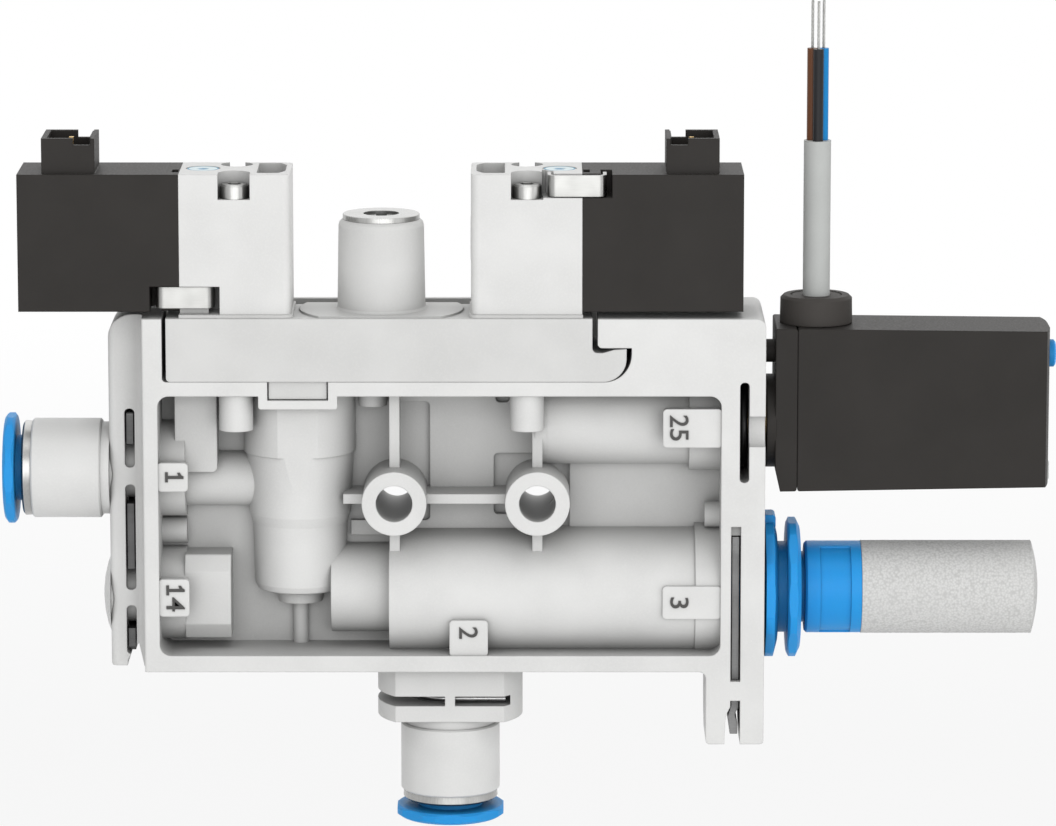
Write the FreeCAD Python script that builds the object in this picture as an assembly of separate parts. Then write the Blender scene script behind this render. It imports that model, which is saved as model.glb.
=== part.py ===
"""Compact vacuum ejector: moulded housing with open front, two solenoid valves,
throttle, push-in tube fittings, silencer and vacuum sensor. Lengths in millimetres.

Frame: origin midway between the two mounting holes on the rear face. +X points to
the exhaust and sensor, +Y into the wall that the rear face is screwed to, +Z up.
"""
import math
import os
import FreeCAD
import Part

V = FreeCAD.Vector
RUN = 0.07  # radial running fit of a piece that slides in a bore
SEAT = 0.04  # radial fit of a piece pressed or plugged into a bore

# Housing
HOLE_PITCH = 16.0
HOLE_R = 2.05
BOSS_R = 3.62
DEPTH = 15.5
FRONT, MID = -DEPTH, -DEPTH / 2
LEFT, RIGHT, BOTTOM, TOP = -36.0, 33.4, -19.2, 20.9
CAV_L, CAV_R, CAV_B, CAV_T, CAV_CORNER = -34.3, 28.5, -17.35, 12.2, 1.25
WEB_FRONT, WEB_BACK = -7.2, -5.4
FLANGE_L, FLANGE_FRONT, FLANGE_BACK = -40.0, -12.0, -3.5
FLANGE_CORNER, FLANGE_EDGE, FLANGE_ROOT = 2.8, 0.9, 0.8
LEG_L, LEG_B, LEG_ROOT, LEG_BACK, LEG_HEEL = 26.9, -27.5, 0.8, -4.9, 5.0

# Ports and plugged pieces
SUPPLY_Z, BLANK_Z, EXHAUST_Z, SENSOR_Z = 2.7, -11.6, -11.0, 8.13
VACUUM_X = -1.86
PLUG_R, PLUG_LENGTH, PLUG_PASSAGE_R = 4.0, 8.4, 2.1
CLIP_AT, CLIP_GROOVE_R, CLIP_GROOVE_W = 2.35, 3.35, 1.1
TUBE_R = 3.06  # bore for a 6 mm tube
PORT_BORE_R, PORT_DEPTH = PLUG_R + SEAT, 8.7

# Clip slots of the left flange, the leg and the sensor socket
SLOT_W = 1.13
FLANGE_WINDOWS = ((3.5, 10.2), (-10.5, 1.55), (-17.9, -12.3))
FLANGE_CLIP_T = 0.8
LEG_SLOT_X, LEG_SLOT_W, LEG_CLIP_T = 30.2, 1.1, 0.8
LEG_WINDOW_T, LEG_WINDOW_B, LEG_BRIDGE_B = -2.6, -20.3, -22.5
SENSOR_SLOT_X, SENSOR_SLOT_W, SENSOR_SLOT_B, SENSOR_SLOT_T = 31.08, 1.05, 2.4, 13.75

# Collar of the vacuum port
COLLAR_R, COLLAR_FLAT, COLLAR_B = 8.2, 5.45, -25.5
WIRE_R, WIRE_Z = 0.42, -23.1
COLLAR_SLOT = 1.1
COLLAR_WEB_L, COLLAR_WEB_R, COLLAR_SLOT_R = -2.4, -1.27, 4.95

# Main chamber and ejector bores
CHAMBER_X = -18.76
CHAMBER_BORE_R, CHAMBER_SEAT_R, CHAMBER_SEAT_Z, CHAMBER_END = 4.3, 2.4, -5.6, -9.6
CHAMBER_FLAT = 5.88
JET_BORE_R, JET_BORE_L, JET_BORE_END = 4.05, -14.2, -8.0
EJECTOR_BORE_R, EJECTOR_BORE_END = 4.5, 25.2
EXHAUST_BORE_R, EXHAUST_BORE_L = 5.56, 25.2

# Manifold plate
PLATE_L, PLATE_R, PLATE_B, PLATE_T, PLATE_BACK = -33.3, 14.1, 13.8, 20.95, -5.25
PLATE_GAP = 0.45
HOOK_R, HOOK_TOP, HOOK_ARC = 17.9, 17.4, 2.6
NOSE_L, NOSE_B, HOOK_POCKET_R = 14.7, 17.65, 18.48
GROOVE_BACK, GROOVE_B = -0.9, 16.4
LATCH_L, LATCH_R, LATCH_B = -21.9, -15.45, 11.85

# Throttle
THROTTLE_X, THROTTLE_Y = -9.45, -8.9
TOWER_R, TOWER_TOP_R, TOWER_TOP = 4.93, 4.78, 31.25
BUSH_FLANGE_R, BUSH_FLANGE_T, BUSH_R, BUSH_LENGTH = 4.3, 0.6, 3.2, 6.0
THROTTLE_BORE_R, NEEDLE_R = 2.0, 1.1

# Valves: local x runs from the joint of solenoid and body towards the body's end
VALVE_JOINT_LEFT, VALVE_JOINT_RIGHT = -31.75, 12.97
VALVE_Y, VALVE_WIDTH, VALVE_BOTTOM, VALVE_TOP = -9.9, 10.0, 21.3, 37.0
BODY_LENGTH, SOLENOID_LENGTH, SOLENOID_BOTTOM = 12.35, 17.9, 21.65
VALVE_FRONT, VALVE_BACK = VALVE_Y - VALVE_WIDTH / 2, VALVE_Y + VALVE_WIDTH / 2
SPOOL_Z, SPOOL_BORE_R = 29.2, 2.0
SCREW_X, SCREW_FRONT_Y, SCREW_BACK_Y, SCREW_R = 6.12, -13.3, -6.45, 0.8
HEAD_R, HEAD_H, HEAD_Z, HEAD_POCKET_R = 1.6, 1.6, 34.2, 1.78
OVERRIDE_X, OVERRIDE_Y, OVERRIDE_R, OVERRIDE_PIN_R, OVERRIDE_FLOOR = 2.5, -9.62, 1.85, 0.5, 32.4
END_PLUG_R, END_PLUG_T = 2.62, 1.9
CLIP_L, CLIP_R, CLIP_H, CLIP_DEPTH, CLIP_T = -2.7, 3.85, 2.4, 3.0, 0.4
SOCKET_L, SOCKET_R, SOCKET_FRONT, SOCKET_BACK, SOCKET_TOP = -15.2, -9.3, -13.9, -6.2, 40.9
COIL_R, COIL_BORE_R, COIL_L, COIL_CORE, COIL_END = 4.2, 2.4, -16.4, -10.1, -2.6
ARMATURE_GAP, ARMATURE_END = 0.6, -1.6
PORT_XS = (3.2, 7.5)
DUCT_R = 0.7

# Exhaust and silencer
RING_R, RING_FLATS, STEM_R = 7.9, 7.65, 4.0
RING1_GAP, RING1_T, RING2_GAP, RING2_T = 0.26, 1.39, 1.07, 1.48
SLEEVE_R, SLEEVE_STEP_R = 5.25, 5.35
SILENCER_GAP, SILENCER_COLLAR_R, SILENCER_COLLAR_LENGTH = 0.55, 5.2, 6.35
SILENCER_ROD_R, SILENCER_ROD_LENGTH, SPIGOT_R, SPIGOT_LENGTH = 5.27, 19.3, 4.3, 3.0

# Sensor and cable
SENSOR_FRONT, SENSOR_BACK = MID - 5.1, MID + 5.1
BASE_GAP, BASE_T, SENSOR_LENGTH = 1.22, 2.48, 28.4
ROOM_B, ROOM_T, SENSOR_WALL, CONTROL_WALL = 2.4, 18.0, 0.9, 2.4
SENSOR_TOP_L, SENSOR_TOP_R, SENSOR_BOT_L, SENSOR_BOT_R = 19.35, 19.05, 0.94, 1.4
NIPPLE_R, NIPPLE_GROOVE_R, NIPPLE_END = 3.0, 2.5, 24.4
GLAND_INSET, GLAND_R, GLAND_HEIGHT = 2.18, 4.07, 3.11
JACKET_R, JACKET_TOP, CORE_R, CORE_TOP, STRAND_TOP = 1.52, 39.9, 0.58, 50.2, 55.6
CORE_RING = 0.72

# Values that follow from the ones above

SLOT_X = FLANGE_L + CLIP_AT
END_PLUG_L = BODY_LENGTH - END_PLUG_T
RING1_L = RIGHT + RING1_GAP
RING1_R = RING1_L + RING1_T
RING2_L = RING1_R + RING2_GAP
RING2_R = RING2_L + RING2_T
SILENCER_L = RING2_R + SILENCER_GAP
SILENCER_JOINT = SILENCER_L + SILENCER_COLLAR_LENGTH
SILENCER_R = SILENCER_JOINT + SILENCER_ROD_LENGTH
BASE_L = RIGHT + BASE_GAP
BASE_R = BASE_L + BASE_T
SENSOR_R = BASE_R + SENSOR_LENGTH
GLAND_X = BASE_R + GLAND_INSET
GLAND_FOOT = SENSOR_TOP_L + max(0, SENSOR_TOP_R - SENSOR_TOP_L) * GLAND_INSET / SENSOR_LENGTH + SEAT
GLAND_TOP = GLAND_FOOT + GLAND_HEIGHT
SCREW_AXIS_LEFT = VALVE_JOINT_LEFT + SCREW_X
SCREW_AXIS_RIGHT = VALVE_JOINT_RIGHT - SCREW_X
SCREW_TIP = 9.4
EXHAUST_GROOVE_R = 4.95
POST_R, POST_Z = 1.3, 16.3
PIN_X, PIN_YS, PIN_BOTTOM = SOCKET_L + 3.0, (-11.4, -8.8), 33.9
GLAND_STEM_R = 2.1
BUTTON_R, BUTTON_Z = 1.55, SENSOR_TOP_R - 3.25
LAMP_Y0, LAMP_Y1, LAMP_Z0, LAMP_Z1 = -10.4, -5.1, 1.9, 3.9
JACKET_BOTTOM, CORE_BOTTOM = 17.3, 15.6


def box(x0, x1, y0, y1, z0, z1):
    return Part.makeBox(x1 - x0, y1 - y0, z1 - z0, V(x0, y0, z0))


def rod(axis, r, start, end, p, q):
    """Cylinder along axis from start to end; p and q are its other two places."""
    place = {"x": V(start, p, q), "y": V(p, start, q), "z": V(p, q, start)}[axis]
    way = {"x": V(1, 0, 0), "y": V(0, 1, 0), "z": V(0, 0, 1)}[axis]
    return Part.makeCylinder(r, end - start, place, way)


def turned(profile, origin, way):
    """Solid of revolution of (along, radius) corners about the line origin + way."""
    way = V(way)
    side = V(0, 1, 0) if abs(way.y) < 0.5 else V(1, 0, 0)
    corners = [V(origin) + way * a + side * r for a, r in profile]
    face = Part.Face(Part.makePolygon(corners + corners[:1]))
    return face.revolve(V(origin), way, 360)


def prism(points, plane, start, end):
    """Straight extrusion of an outline; plane is xz, xy or yz."""
    build = {
        "xz": lambda a, b: V(a, start, b),
        "xy": lambda a, b: V(a, b, start),
        "yz": lambda a, b: V(start, a, b),
    }[plane]
    way = {"xz": V(0, 1, 0), "xy": V(0, 0, 1), "yz": V(1, 0, 0)}[plane]
    corners = [build(a, b) for a, b in points]
    face = Part.Face(Part.makePolygon(corners + corners[:1]))
    return face.extrude(way * (end - start))


def rounded(points, radii, plane, start, end):
    """Extrusion of a polygon whose corners carry the given radii (0 is sharp)."""
    build = {
        "xz": lambda p: V(p.x, start, p.y),
        "xy": lambda p: V(p.x, p.y, start),
        "yz": lambda p: V(start, p.x, p.y),
    }[plane]
    way = {"xz": V(0, 1, 0), "xy": V(0, 0, 1), "yz": V(1, 0, 0)}[plane]
    flat = [V(a, b, 0) for a, b in points]
    ends, arcs = [], []
    for i, here in enumerate(flat):
        before, after, r = flat[i - 1], flat[(i + 1) % len(flat)], radii[i]
        to, go = (before - here).normalize(), (after - here).normalize()
        if r <= 0:
            ends.append((here, here))
            arcs.append(None)
            continue
        half = to.getAngle(go) / 2
        cut = r / math.tan(half)
        centre = here + (to + go).normalize() * (r / math.sin(half))
        middle = centre + (here - centre).normalize() * r
        ends.append((here + to * cut, here + go * cut))
        arcs.append(middle)
    edges = []
    for i, (enter, leave) in enumerate(ends):
        if arcs[i] is not None:
            edges.append(Part.Arc(build(enter), build(arcs[i]), build(leave)).toShape())
        nxt = ends[(i + 1) % len(ends)][0]
        if leave.distanceToPoint(nxt) > 1e-6:
            edges.append(Part.makeLine(build(leave), build(nxt)))
    face = Part.Face(Part.Wire(edges))
    return face.extrude(way * (end - start))


def plate_of(x0, x1, z0, z1, r, y0, y1):
    """Block with its four corners rounded in the front view."""
    return rounded([(x0, z0), (x1, z0), (x1, z1), (x0, z1)], [r] * 4, "xz", y0, y1)


def fused(shapes):
    whole = shapes[0].multiFuse(list(shapes[1:])) if len(shapes) > 1 else shapes[0]
    return whole.removeSplitter()


def cut(shape, tools):
    return shape.cut(list(tools)) if tools else shape


# Housing


def frame_block():
    """Frame, left flange and leg: the plan outline met by the front outline."""
    plan_points = [
        (RIGHT, 0), (LEFT, 0), (LEFT, FLANGE_BACK), (FLANGE_L, FLANGE_BACK),
        (FLANGE_L, FLANGE_FRONT), (LEFT, FLANGE_FRONT), (LEFT, FRONT), (RIGHT, FRONT),
    ]
    plan_radii = [0, 0, FLANGE_ROOT, FLANGE_EDGE, FLANGE_EDGE, FLANGE_ROOT, 0.25, 0]
    plan = rounded(plan_points, plan_radii, "xy", LEG_B, TOP)
    front_points = [
        (FLANGE_L, BOTTOM), (LEG_L, BOTTOM), (LEG_L, LEG_B), (RIGHT, LEG_B),
        (RIGHT, TOP), (FLANGE_L, TOP),
    ]
    front = rounded(front_points, [0.3, LEG_ROOT, 0.45, 0.45, 1.0, FLANGE_CORNER], "xz", FRONT, 0)
    heel = rounded([(FRONT - 1, LEG_B), (LEG_BACK, LEG_B), (LEG_BACK, BOTTOM + 1),
                    (FRONT - 1, BOTTOM + 1)], [0, LEG_HEEL, 0, 0], "yz", LEG_L - 2, RIGHT + 2)
    behind = box(LEG_L - 2, RIGHT + 1, FRONT - 1, 1, LEG_B - 1, BOTTOM).cut(heel)
    return plan.common(front).cut(behind)


def cavities():
    """The open front chamber room and the shallower one behind the web."""
    return [
        plate_of(CAV_L, CAV_R, CAV_B, CAV_T, CAV_CORNER, FRONT - 1, WEB_FRONT),
        plate_of(CAV_L, CAV_R, CAV_B, CAV_T, CAV_CORNER, WEB_BACK, 1),
    ]


def main_chamber():
    """Stepped, drafted vertical chamber with flats, a neck and a sprue pin."""
    steps = [
        (PLATE_B, 0), (PLATE_B, 6.3), (4.8, 6.3), (4.8, 6.08), (-2.2, 5.72), (-3.3, 5.33),
        (-10.2, 5.1), (-10.85, 4.85), (-11.1, 4.2), (-11.1, 2.63), (-12.5, 2.5),
        (-12.5, 0.87), (CAV_B - 0.5, 0.87), (CAV_B - 0.5, 0),
    ]
    barrel = turned(steps, V(CHAMBER_X, MID, 0), (0, 0, 1))
    reach = 7.0
    keep = box(CHAMBER_X - reach, CHAMBER_X + reach, MID - CHAMBER_FLAT, MID + CHAMBER_FLAT,
               CAV_B - 1, PLATE_B + 1)
    return barrel.common(keep)


def sockets():
    """Cylinders round the ports and channels that stand out of the web."""
    left, step, end = CAV_L - 0.1, -31.5, CAV_R + 0.1
    return [
        rod("x", 5.4, left, step, MID, SUPPLY_Z),
        rod("x", 5.3, left, step, MID, BLANK_Z),
        rod("x", 1.5, left, step, MID, -4.45),
        rod("x", 3.05, step, -24.3, MID, 1.5),
        rod("x", 4.9, 8.9, 25.0, MID, SENSOR_Z),
        rod("x", 5.6, 25.0, end, MID, SENSOR_Z),
        rod("x", 5.05, -15.2, -8.6, MID, EXHAUST_Z),
        rod("x", 6.65, -8.6, 25.7, MID, EXHAUST_Z),
        rod("x", 7.3, 25.7, end, MID, EXHAUST_Z),
        rod("x", 1.45, 26.8, end, -9.4, -2.3),
        rod("z", 1.9, 8.1, CAV_T + 0.1, SCREW_AXIS_LEFT, SCREW_FRONT_Y),
        rod("z", 1.9, 8.1, CAV_T + 0.1, SCREW_AXIS_RIGHT, SCREW_FRONT_Y),
        rod("z", 1.6, 10.1, CAV_T + 0.1, -10.5, THROTTLE_Y),
    ]


def blocks():
    """Slab, bevelled block, raised pads and the thick rail at the latch."""
    slab = rounded([(-32.6, 2.9), (-27.9, 2.9), (-27.9, CAV_T + 0.1), (-32.6, CAV_T + 0.1)],
                   [0, 0.6, 0, 0], "xz", WEB_FRONT - 4.4, WEB_FRONT)
    bevel = [(-3.2, -16.2), (-3.2, -6.6), (-11.2, -6.6), (-12.3, -8.4), (-12.3, -14.4),
             (-11.2, -16.2)]
    block = rounded(bevel, [0, 0, 0.3, 0.3, 0.3, 0.3], "yz", -31.6, -26.45)
    pad = box(-13.0, 8.0, WEB_FRONT - 0.8, WEB_FRONT, -5.0, CAV_T + 0.1)
    for x0, x1, z0, z1 in ((-14, -4.1, -3.3, 10.3), (3.1, 9, -2.6, 4.4), (3.3, 4.9, 10.2, 14)):
        pad = pad.cut(plate_of(x0, x1, z0, z1, 0.5, WEB_FRONT - 1.8, WEB_FRONT + 0.1))
    rail = rounded([(-23.07, CAV_T + 0.1), (-23.07, 10.73), (-14.27, 10.73), (-14.27, CAV_T + 0.1)],
                   [0, 0.3, 0.3, 0], "xz", FRONT, FRONT + 1.9)
    return [slab, block, pad, rail]


def bosses_and_ribs():
    """Screw bosses through the full depth, tied by ribs to walls and chambers."""
    half, front, back = 0.57, FRONT + 3.0, -3.0
    solids = []
    for x in (-HOLE_PITCH / 2, HOLE_PITCH / 2):
        solids.append(rod("y", BOSS_R, FRONT, 0, x, 0))
        solids.append(box(x - half, x + half, front, back, -6.0, CAV_T + 0.1))
    solids.append(box(CHAMBER_X + 5, HOLE_PITCH / 2, front, back, -0.55, 0.55))
    return solids


def port_tags():
    """Small rounded plates beside the ports that carry their numbers."""
    front, thick, r = FRONT + 0.3, 1.1, 0.45
    spots = (
        (CAV_L - 0.1, -31.0, 1.35, 4.6), (CAV_L - 0.1, -30.95, -12.9, -8.65),
        (22.0, CAV_R + 0.1, 6.35, 10.7), (22.0, CAV_R + 0.1, -13.2, -9.45),
        (-1.85, 2.45, CAV_B - 0.1, -13.35),
    )
    return [plate_of(a, b, c, d, r, front, front + thick) for a, b, c, d in spots]


def collar():
    """Round collar with front and rear flats under the frame."""
    ring = rod("z", COLLAR_R, COLLAR_B, BOTTOM + 0.1, VACUUM_X, MID)
    flats = box(VACUUM_X - 9, VACUUM_X + 9, MID - COLLAR_FLAT, MID + COLLAR_FLAT,
                COLLAR_B - 1, BOTTOM + 1)
    return ring.common(flats)


def plate_pocket():
    """Seat of the manifold plate with its hook pocket, latch pocket and rear groove."""
    gap = PLATE_GAP
    seat = [(PLATE_L - gap, PLATE_B), (HOOK_POCKET_R, PLATE_B), (HOOK_POCKET_R, NOSE_B),
            (NOSE_L, NOSE_B), (NOSE_L, TOP + 1), (PLATE_L - gap, TOP + 1)]
    pocket = rounded(seat, [0.45, HOOK_ARC + 0.5, 0, 0.5, 0, 0], "xz", FRONT - 1, PLATE_BACK + 0.1)
    latch = box(LATCH_L - 0.15, LATCH_R + 0.15, FRONT - 1, -13.9, LATCH_B - 0.12, PLATE_B + 0.1)
    groove = box(PLATE_L - gap, NOSE_L, PLATE_BACK, GROOVE_BACK, GROOVE_B, TOP + 1)
    return [pocket, latch, groove]


def port_bores():
    """Bores of the plugged ports, the main chamber, the ejector and the passages."""
    flange = FLANGE_L - 1
    return [
        rod("x", PORT_BORE_R, flange, FLANGE_L + PORT_DEPTH, MID, SUPPLY_Z),
        rod("x", PORT_BORE_R, flange, FLANGE_L + PORT_DEPTH, MID, BLANK_Z),
        rod("x", 1.8, FLANGE_L + PORT_DEPTH - 0.5, CHAMBER_X, MID, 1.5),
        rod("z", PORT_BORE_R, COLLAR_B - 1, EXHAUST_Z - 2, VACUUM_X, MID),
        rod("z", CHAMBER_BORE_R, CHAMBER_SEAT_Z, PLATE_B + 1, CHAMBER_X, MID),
        rod("z", CHAMBER_SEAT_R, CHAMBER_END, PLATE_B, CHAMBER_X, MID),
        rod("x", 0.9, CHAMBER_X, JET_BORE_L + 1, MID, EXHAUST_Z + 2.6),
        rod("x", JET_BORE_R, JET_BORE_L, EJECTOR_BORE_END, MID, EXHAUST_Z),
        rod("x", EJECTOR_BORE_R, JET_BORE_END, EJECTOR_BORE_END + 0.5, MID, EXHAUST_Z),
        rod("x", EXHAUST_BORE_R, EXHAUST_BORE_L, RIGHT + 1, MID, EXHAUST_Z),
        rod("x", NIPPLE_R + SEAT, NIPPLE_END - 0.2, RIGHT + 1, MID, SENSOR_Z),
        rod("x", 1.2, 9.9, NIPPLE_END, MID, SENSOR_Z),
        rod("z", 1.2, -6.0, SENSOR_Z, 10.6, MID),
        rod("x", POST_R + SEAT, RIGHT - 1.6, RIGHT + 1, -9.0, POST_Z),
    ]


def fastening_bores():
    """Mounting holes and the pilot holes of the valve screws."""
    holes = [rod("y", HOLE_R, FRONT - 1, 1, x, 0) for x in (-HOLE_PITCH / 2, HOLE_PITCH / 2)]
    for x in (SCREW_AXIS_LEFT, SCREW_AXIS_RIGHT):
        holes.append(rod("z", SCREW_R + SEAT, SCREW_TIP - 0.4, PLATE_B + 1, x, SCREW_FRONT_Y))
        holes.append(rod("z", SCREW_R + SEAT, SCREW_TIP - 0.4, PLATE_B + 1, x, SCREW_BACK_Y))
    return holes


def flange_slots():
    """Three front windows and one rear slot for the clip, and the gap at the foot."""
    x0, x1 = SLOT_X - SLOT_W / 2, SLOT_X + SLOT_W / 2
    depth = -5.2
    tools = [box(x0, x1, depth - 0.1, FLANGE_BACK + 1, FLANGE_WINDOWS[2][0], FLANGE_WINDOWS[0][1])]
    for low, high in FLANGE_WINDOWS:
        tools.append(plate_of(x0, x1, low, high, SLOT_W * 0.45, FLANGE_FRONT - 1, depth))
    foot = [(-36.85, -16.6), (-36.15, BOTTOM - 0.5), (-38.2, BOTTOM - 0.5), (-38.1, -18.5),
            (-37.5, -17.4)]
    tools.append(prism(foot, "xz", FLANGE_FRONT - 1, FLANGE_BACK + 1))
    return tools


def leg_slots():
    """Slot of the spring clip, open below, with its two front windows."""
    x0, x1 = LEG_SLOT_X - LEG_SLOT_W / 2, LEG_SLOT_X + LEG_SLOT_W / 2
    skin = 1.0
    inner = box(x0, x1, FRONT + skin, -skin, LEG_B - 1, LEG_WINDOW_T - 1.2)
    window = box(x0, x1, FRONT - 1, FRONT + skin + 0.1, LEG_WINDOW_B, LEG_WINDOW_T)
    mouth = [(x0, LEG_BRIDGE_B), (x0, -23.2), (x0 - 0.3, -23.8), (x0 - 0.5, -24.5),
             (x0 - 0.56, -25.1), (x0 - 0.67, LEG_B - 1), (x1, LEG_B - 1), (x1, LEG_BRIDGE_B)]
    lower = prism(mouth, "xz", FRONT - 1, LEG_BACK + 1)
    return [inner, window, lower]


def sensor_slot():
    """Slot of the sensor clip and the trough that leads to the right face."""
    x0, x1 = SENSOR_SLOT_X - SENSOR_SLOT_W / 2, SENSOR_SLOT_X + SENSOR_SLOT_W / 2
    slot = plate_of(x0, x1, SENSOR_SLOT_B, SENSOR_SLOT_T, SENSOR_SLOT_W * 0.45, FRONT - 1, -2.0)
    trough = rod("x", 1.72, SENSOR_SLOT_X, RIGHT + 1, FRONT, 8.2)
    return [slot, trough]


def collar_slots():
    """Slot for the wire clip: open at the left, webs at the front and rear."""
    z0, z1 = WIRE_Z - COLLAR_SLOT / 2, WIRE_Z + COLLAR_SLOT / 2
    whole = box(VACUUM_X - 9, COLLAR_SLOT_R, MID - 7, MID + 7, z0, z1)
    gap = PLUG_R + 0.5
    for side in (-1, 1):
        web = box(COLLAR_WEB_L, COLLAR_WEB_R, *sorted((MID + side * gap, MID + side * 8)),
                  z0 - 0.1, z1 + 0.1)
        whole = whole.cut(web)
    return [whole]


def housing():
    """Moulded housing: frame, web, chambers, ribs, bosses, tags, bores and slots."""
    body = cut(frame_block(), cavities())
    grown = [main_chamber(), collar()] + sockets() + blocks() + bosses_and_ribs() + port_tags()
    body = body.multiFuse(grown)
    tools = plate_pocket() + port_bores() + fastening_bores() + flange_slots() + leg_slots()
    tools += sensor_slot() + collar_slots()
    return cut(body, tools).removeSplitter()


# Manifold plate and throttle


def throttle_tower():
    """Drafted tower with a rounded shoulder and a flared foot."""
    r0, r1 = TOWER_R, TOWER_TOP_R
    rise = [(PLATE_T - 0.5, 0), (PLATE_T - 0.5, r0 + 0.5), (PLATE_T + 0.02, r0 + 0.5),
            (PLATE_T + 0.15, r0 + 0.2), (PLATE_T + 0.5, r0), (TOWER_TOP - 0.7, r1),
            (TOWER_TOP - 0.3, r1 - 0.12), (TOWER_TOP, r1 - 0.45), (TOWER_TOP, 0)]
    return turned(rise, V(THROTTLE_X, THROTTLE_Y, 0), (0, 0, 1))


def manifold_plate():
    """Valve base with hook, latch, throttle tower, ducts and underside grooves."""
    outline = [
        (PLATE_L, PLATE_B + 0.03), (HOOK_R, PLATE_B + 0.03), (HOOK_R, HOOK_TOP + 0.15),
        (HOOK_R - 1.4, HOOK_TOP + 0.05), (HOOK_R - 2.6, HOOK_TOP - 0.3), (PLATE_R, HOOK_TOP - 0.3),
        (PLATE_R, PLATE_T), (PLATE_L, PLATE_T),
    ]
    radii = [0.45, HOOK_ARC, 0, 0.6, 0.6, 0.55, 0, 0]
    plate = rounded(outline, radii, "xz", FRONT, PLATE_BACK)
    latch = box(LATCH_L, LATCH_R, FRONT + 0.25, -14.05, LATCH_B, PLATE_B + 0.1)
    pad = rod("z", 9.2, PLATE_T - 0.3, PLATE_T + 0.22, THROTTLE_X, THROTTLE_Y)
    beside = BODY_LENGTH + 0.55
    room = box(VALVE_JOINT_LEFT + beside, VALVE_JOINT_RIGHT - beside, FRONT + 0.5, PLATE_BACK,
               PLATE_T - 1, PLATE_T + 1)
    body = fused([plate, latch, pad.common(room), throttle_tower()])
    bush = rod("z", BUSH_R + SEAT, TOWER_TOP - BUSH_LENGTH, TOWER_TOP + 1, THROTTLE_X, THROTTLE_Y)
    shaft = rod("z", NEEDLE_R + RUN, PLATE_B + 1.6, TOWER_TOP, THROTTLE_X, THROTTLE_Y)
    orifice = rod("z", 0.6, PLATE_B - 1, PLATE_B + 2, THROTTLE_X, THROTTLE_Y)
    ducts = []
    for joint, sign in ((VALVE_JOINT_LEFT, 1), (VALVE_JOINT_RIGHT, -1)):
        for x in PORT_XS:
            ducts.append(rod("z", DUCT_R, PLATE_B - 1, PLATE_T + 1, joint + sign * x, VALVE_Y))
        for y in (SCREW_FRONT_Y, SCREW_BACK_Y):
            ducts.append(rod("z", SCREW_R + SEAT, PLATE_B - 1, PLATE_T + 1,
                             joint + sign * SCREW_X, y))
    left_duct, right_duct = VALVE_JOINT_LEFT + PORT_XS[1], VALVE_JOINT_RIGHT - PORT_XS[1]
    grooves = [
        box(left_duct - 0.5, CHAMBER_X, VALVE_Y - 0.5, VALVE_Y + 0.5, PLATE_B - 1, PLATE_B + 0.9),
        box(THROTTLE_X, right_duct + 0.5, VALVE_Y - 0.5, VALVE_Y + 1.2, PLATE_B - 1, PLATE_B + 0.9),
    ]
    return cut(body, [bush, shaft, orifice] + ducts + grooves)


def throttle_bush():
    """Steel insert with a flat flange and a through bore for the needle screw."""
    top = TOWER_TOP + BUSH_FLANGE_T
    profile = [
        (TOWER_TOP - BUSH_LENGTH + 0.1, THROTTLE_BORE_R), (TOWER_TOP - BUSH_LENGTH + 0.1, BUSH_R),
        (TOWER_TOP, BUSH_R), (TOWER_TOP, BUSH_FLANGE_R), (top - 0.08, BUSH_FLANGE_R),
        (top, BUSH_FLANGE_R - 0.08), (top, THROTTLE_BORE_R),
    ]
    return turned(profile, V(THROTTLE_X, THROTTLE_Y, 0), (0, 0, 1))


def throttle_screw():
    """Slotted needle screw: head in the bush, stem and conical tip at the orifice."""
    head = THROTTLE_BORE_R - RUN
    top, low = TOWER_TOP + BUSH_FLANGE_T - 0.35, TOWER_TOP - BUSH_LENGTH + 0.8
    profile = [(PLATE_B + 1.75, 0), (PLATE_B + 1.75, 0.25), (PLATE_B + 3.2, NEEDLE_R - 0.02),
               (low, NEEDLE_R - 0.02), (low, head), (top - 0.1, head), (top, head - 0.1), (top, 0)]
    screw = turned(profile, V(THROTTLE_X, THROTTLE_Y, 0), (0, 0, 1))
    slot = box(THROTTLE_X - 0.6, THROTTLE_X + 0.6, THROTTLE_Y - 3, THROTTLE_Y + 3, top - 1.1, top + 1)
    return screw.cut(slot)


# Valves: every piece is built for the left valve at local x, then placed or mirrored


def placed(shape, side):
    """Left pieces move to the left joint; right ones are mirrored to the right joint."""
    if side < 0:
        return shape.translated(V(VALVE_JOINT_LEFT, 0, 0))
    return shape.mirror(V(0, 0, 0), V(1, 0, 0)).translated(V(VALVE_JOINT_RIGHT, 0, 0))


def clip_recess_z(side):
    """The left valve's clip sits at the foot, the right one's at the top."""
    if side < 0:
        return VALVE_BOTTOM + 0.7, VALVE_BOTTOM + 0.7 + CLIP_H
    return VALVE_TOP - 0.1 - CLIP_H, VALVE_TOP - 0.1


def clip_recess(side):
    """Room for the clip round two ears, one on the solenoid and one on the body."""
    low, high = clip_recess_z(side)
    margin = 0.62
    if side < 0:
        low, high = VALVE_BOTTOM - 1, high + 0.06
    else:
        low, high = low - 0.1, VALVE_TOP + 1
    room = box(CLIP_L - margin, CLIP_R + margin, VALVE_FRONT - 1, VALVE_FRONT + 4.1, low, high)
    inner = CLIP_T + 0.25
    ears = box(CLIP_L + inner, CLIP_R - inner, VALVE_FRONT + inner + 0.25, VALVE_FRONT + 5,
               low - 1, high + 1)
    return room.cut(ears)


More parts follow.
